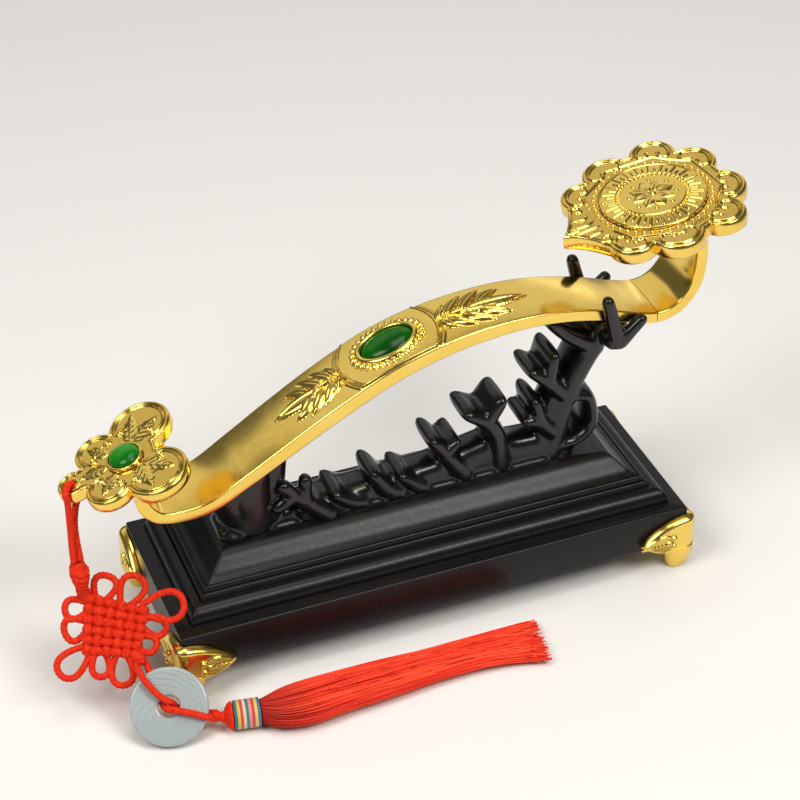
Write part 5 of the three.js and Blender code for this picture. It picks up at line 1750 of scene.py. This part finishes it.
foot = {
    "wing": 19.5, "top": 24.6, "low": 8.2, "tipHeight": 14.7, "pull": 0.62, "lowStart": 0.25, "corner": 1.0,
    "thickness": 3.3, "thin": 0.35, "ease": 2.0, "tipEase": 0.55,
    "toeTop": 6.6, "toeBottom": 4.2, "toeInset": 2.6, "toeWave": 0.05, "shelf": 17, "shelfThickness": 2.4,
    "leaf": (5.6, 15.0, -1, 13.4, 8.6), "leafLift": 0.35, "leafEdge": 0.45,
    "border": (0.22, 0.4, 0.3),  # lift, place in from the edge and width
    "vein": 1.5, "veinLift": 0.2, "veinSlant": 1.2, "rib": (0.35, 0.3),
    "berries": [(6.4, 17.0), (8.6, 15.2), (6.6, 13.2)], "berry": 1.15,
}


def cornerPath(run, out):  # places round the plinth's corner, this far out from its faces
    soft = foot["corner"]
    half = soft * math.pi / 4
    angle = -0.75 * math.pi + np.clip(run, -half, half) / soft
    outward = np.column_stack([np.cos(angle), np.sin(angle)])
    point = soft + soft * outward
    point[:, 0] += np.clip(run - half, 0, None)
    point[:, 1] += np.clip(-run - half, 0, None)
    return point + outward * out[:, None]


def footRelief(along, height):  # a veined leaf and three berries
    baseX, baseZ, direction, length, width = foot["leaf"]
    gone, aside = leafAxes(along, height, baseX, baseZ, direction)
    share = np.clip(gone / length, 0.001, 0.999)
    half = width / 2 * np.sin(np.pi * share**0.7) ** 0.8
    inset = np.where((gone > 0) & (gone < length), half - np.abs(aside), 0)
    borderLift, borderPlace, borderWidth = foot["border"]
    border = borderLift * np.exp(-(((inset - borderPlace) / borderWidth) ** 2))
    ribLift, ribWidth = foot["rib"]
    slant = gone - foot["veinSlant"] * np.abs(aside)
    veins = foot["veinLift"] * np.cos(2 * np.pi * slant / foot["vein"])
    veins += ribLift * np.exp(-((aside / ribWidth) ** 2))
    lift = foot["leafLift"] + border + veins * np.clip((inset - 0.5) / 0.4, 0, 1)
    relief = np.clip(inset / foot["leafEdge"], 0, 1) * lift
    for spotX, spotZ in foot["berries"]:
        off = np.hypot(along - spotX, height - spotZ) / foot["berry"]
        berry = np.sqrt(np.clip(1 - off**2, 0, 1)) * foot["berry"] + foot["leafLift"]
        relief = np.where(off < 1, np.maximum(relief, berry), relief)
    return relief


def slabShell(front, back):  # two grids of points, joined all round
    rows, columns = len(front), len(front[0])
    count = rows * columns
    faces = []
    for row in range(rows - 1):
        for column in range(columns - 1):
            a = row * columns + column
            b = a + count
            faces.append((a, a + 1, a + columns + 1, a + columns))
            faces.append((b + columns, b + columns + 1, b + 1, b))
    for low in range(columns - 1):
        high = low + count - columns
        faces.append((low + 1, low, low + count, low + count + 1))
        faces.append((high + count + 1, high + count, high, high + 1))
    for left in range(0, count - columns, columns):
        right = left + columns - 1
        faces.append((left, left + count, left + count + columns, left + columns))
        faces.append((right + columns, right + count + columns, right + count, right))
    return np.vstack([*front, *back]), faces


def footLeaf():
    columns, rows = 221, 61
    wing, tip = foot["wing"], foot["tipHeight"]
    curve = np.linspace(0, 1, 200)
    pull = wing * foot["pull"]
    topRun, topLine = bend(0, pull, wing, curve), bend(foot["top"], foot["top"] - 1, tip, curve)
    lowRun = bend(wing * foot["lowStart"], pull, wing, curve)
    lowLine = bend(foot["low"], foot["low"], tip, curve)
    run = np.linspace(-1, 1, columns)
    run = np.sign(run) * np.abs(run) ** 0.9 * wing
    reach = np.abs(run)
    top, low = np.interp(reach, topRun, topLine), np.interp(reach, lowRun, lowLine, left=foot["low"])
    height = low + (top - low) * np.linspace(0, 1, rows)[:, None]
    along = np.broadcast_to(reach, height.shape)
    span = np.minimum(height - low, top - height)
    edge = np.clip(np.minimum(span, (wing - along) * foot["tipEase"]) / foot["ease"], 0, 1)
    body = foot["thin"] + (foot["thickness"] - foot["thin"]) * np.sqrt(1 - (1 - edge) ** 2)
    out = body + footRelief(along, height) * edge
    front = [np.column_stack([cornerPath(run, outward), z]) for outward, z in zip(out, height)]
    inner = cornerPath(run, np.full(columns, seatGap))
    return slabShell(front, [np.column_stack([inner, z]) for z in height])


def footToe(under):
    top, bottom, inset = foot["toeTop"], foot["toeBottom"], foot["toeInset"]
    rows = [
        (under, top), (under * 0.7, top * 0.95), (under * 0.4, top * 0.82), (under * 0.16, bottom * 1.1),
        (under * 0.05, bottom), (0.12, bottom * 0.93), (0, bottom * 0.82),
    ]
    turn = fullTurn(64)
    wave = 1 + foot["toeWave"] * np.cos(4 * (turn - math.pi / 4))
    rings = [ovalRing(turn, radius * wave, radius * wave, z) for z, radius in rows]
    return closedLoft([ring + (inset, inset, 0) for ring in rings])


def footShelf(under):
    line = [(-seatGap, -seatGap)]
    line += [foot["shelf"] * unit(angle) for angle in np.radians(range(2, 90, 8))]
    heights = (under - foot["shelfThickness"], under)
    return closedLoft([np.column_stack([line, np.full(len(line), z)]) for z in heights])


def makeFeet():
    under = plinthBottom - seatGap
    shells = [footLeaf(), footToe(under), footShelf(under)]
    corners = [("front_left", -1, -1), ("front_right", 1, -1), ("back_right", 1, 1), ("back_left", -1, 1)]
    for quarter, (name, sideX, sideY) in enumerate(corners):
        turn = quarter * math.pi / 2
        place = shift(sideX * plinthHalfLength, sideY * plinthHalfWidth, 0)
        place[:2, :2] = [[math.cos(turn), -math.sin(turn)], [math.sin(turn), math.cos(turn)]]
        makePiece(f"leafFoot{quarter}", shells, gilt, "stand", [f"foot_{name}"], place, 60)


makeFeet()
print("feet made")
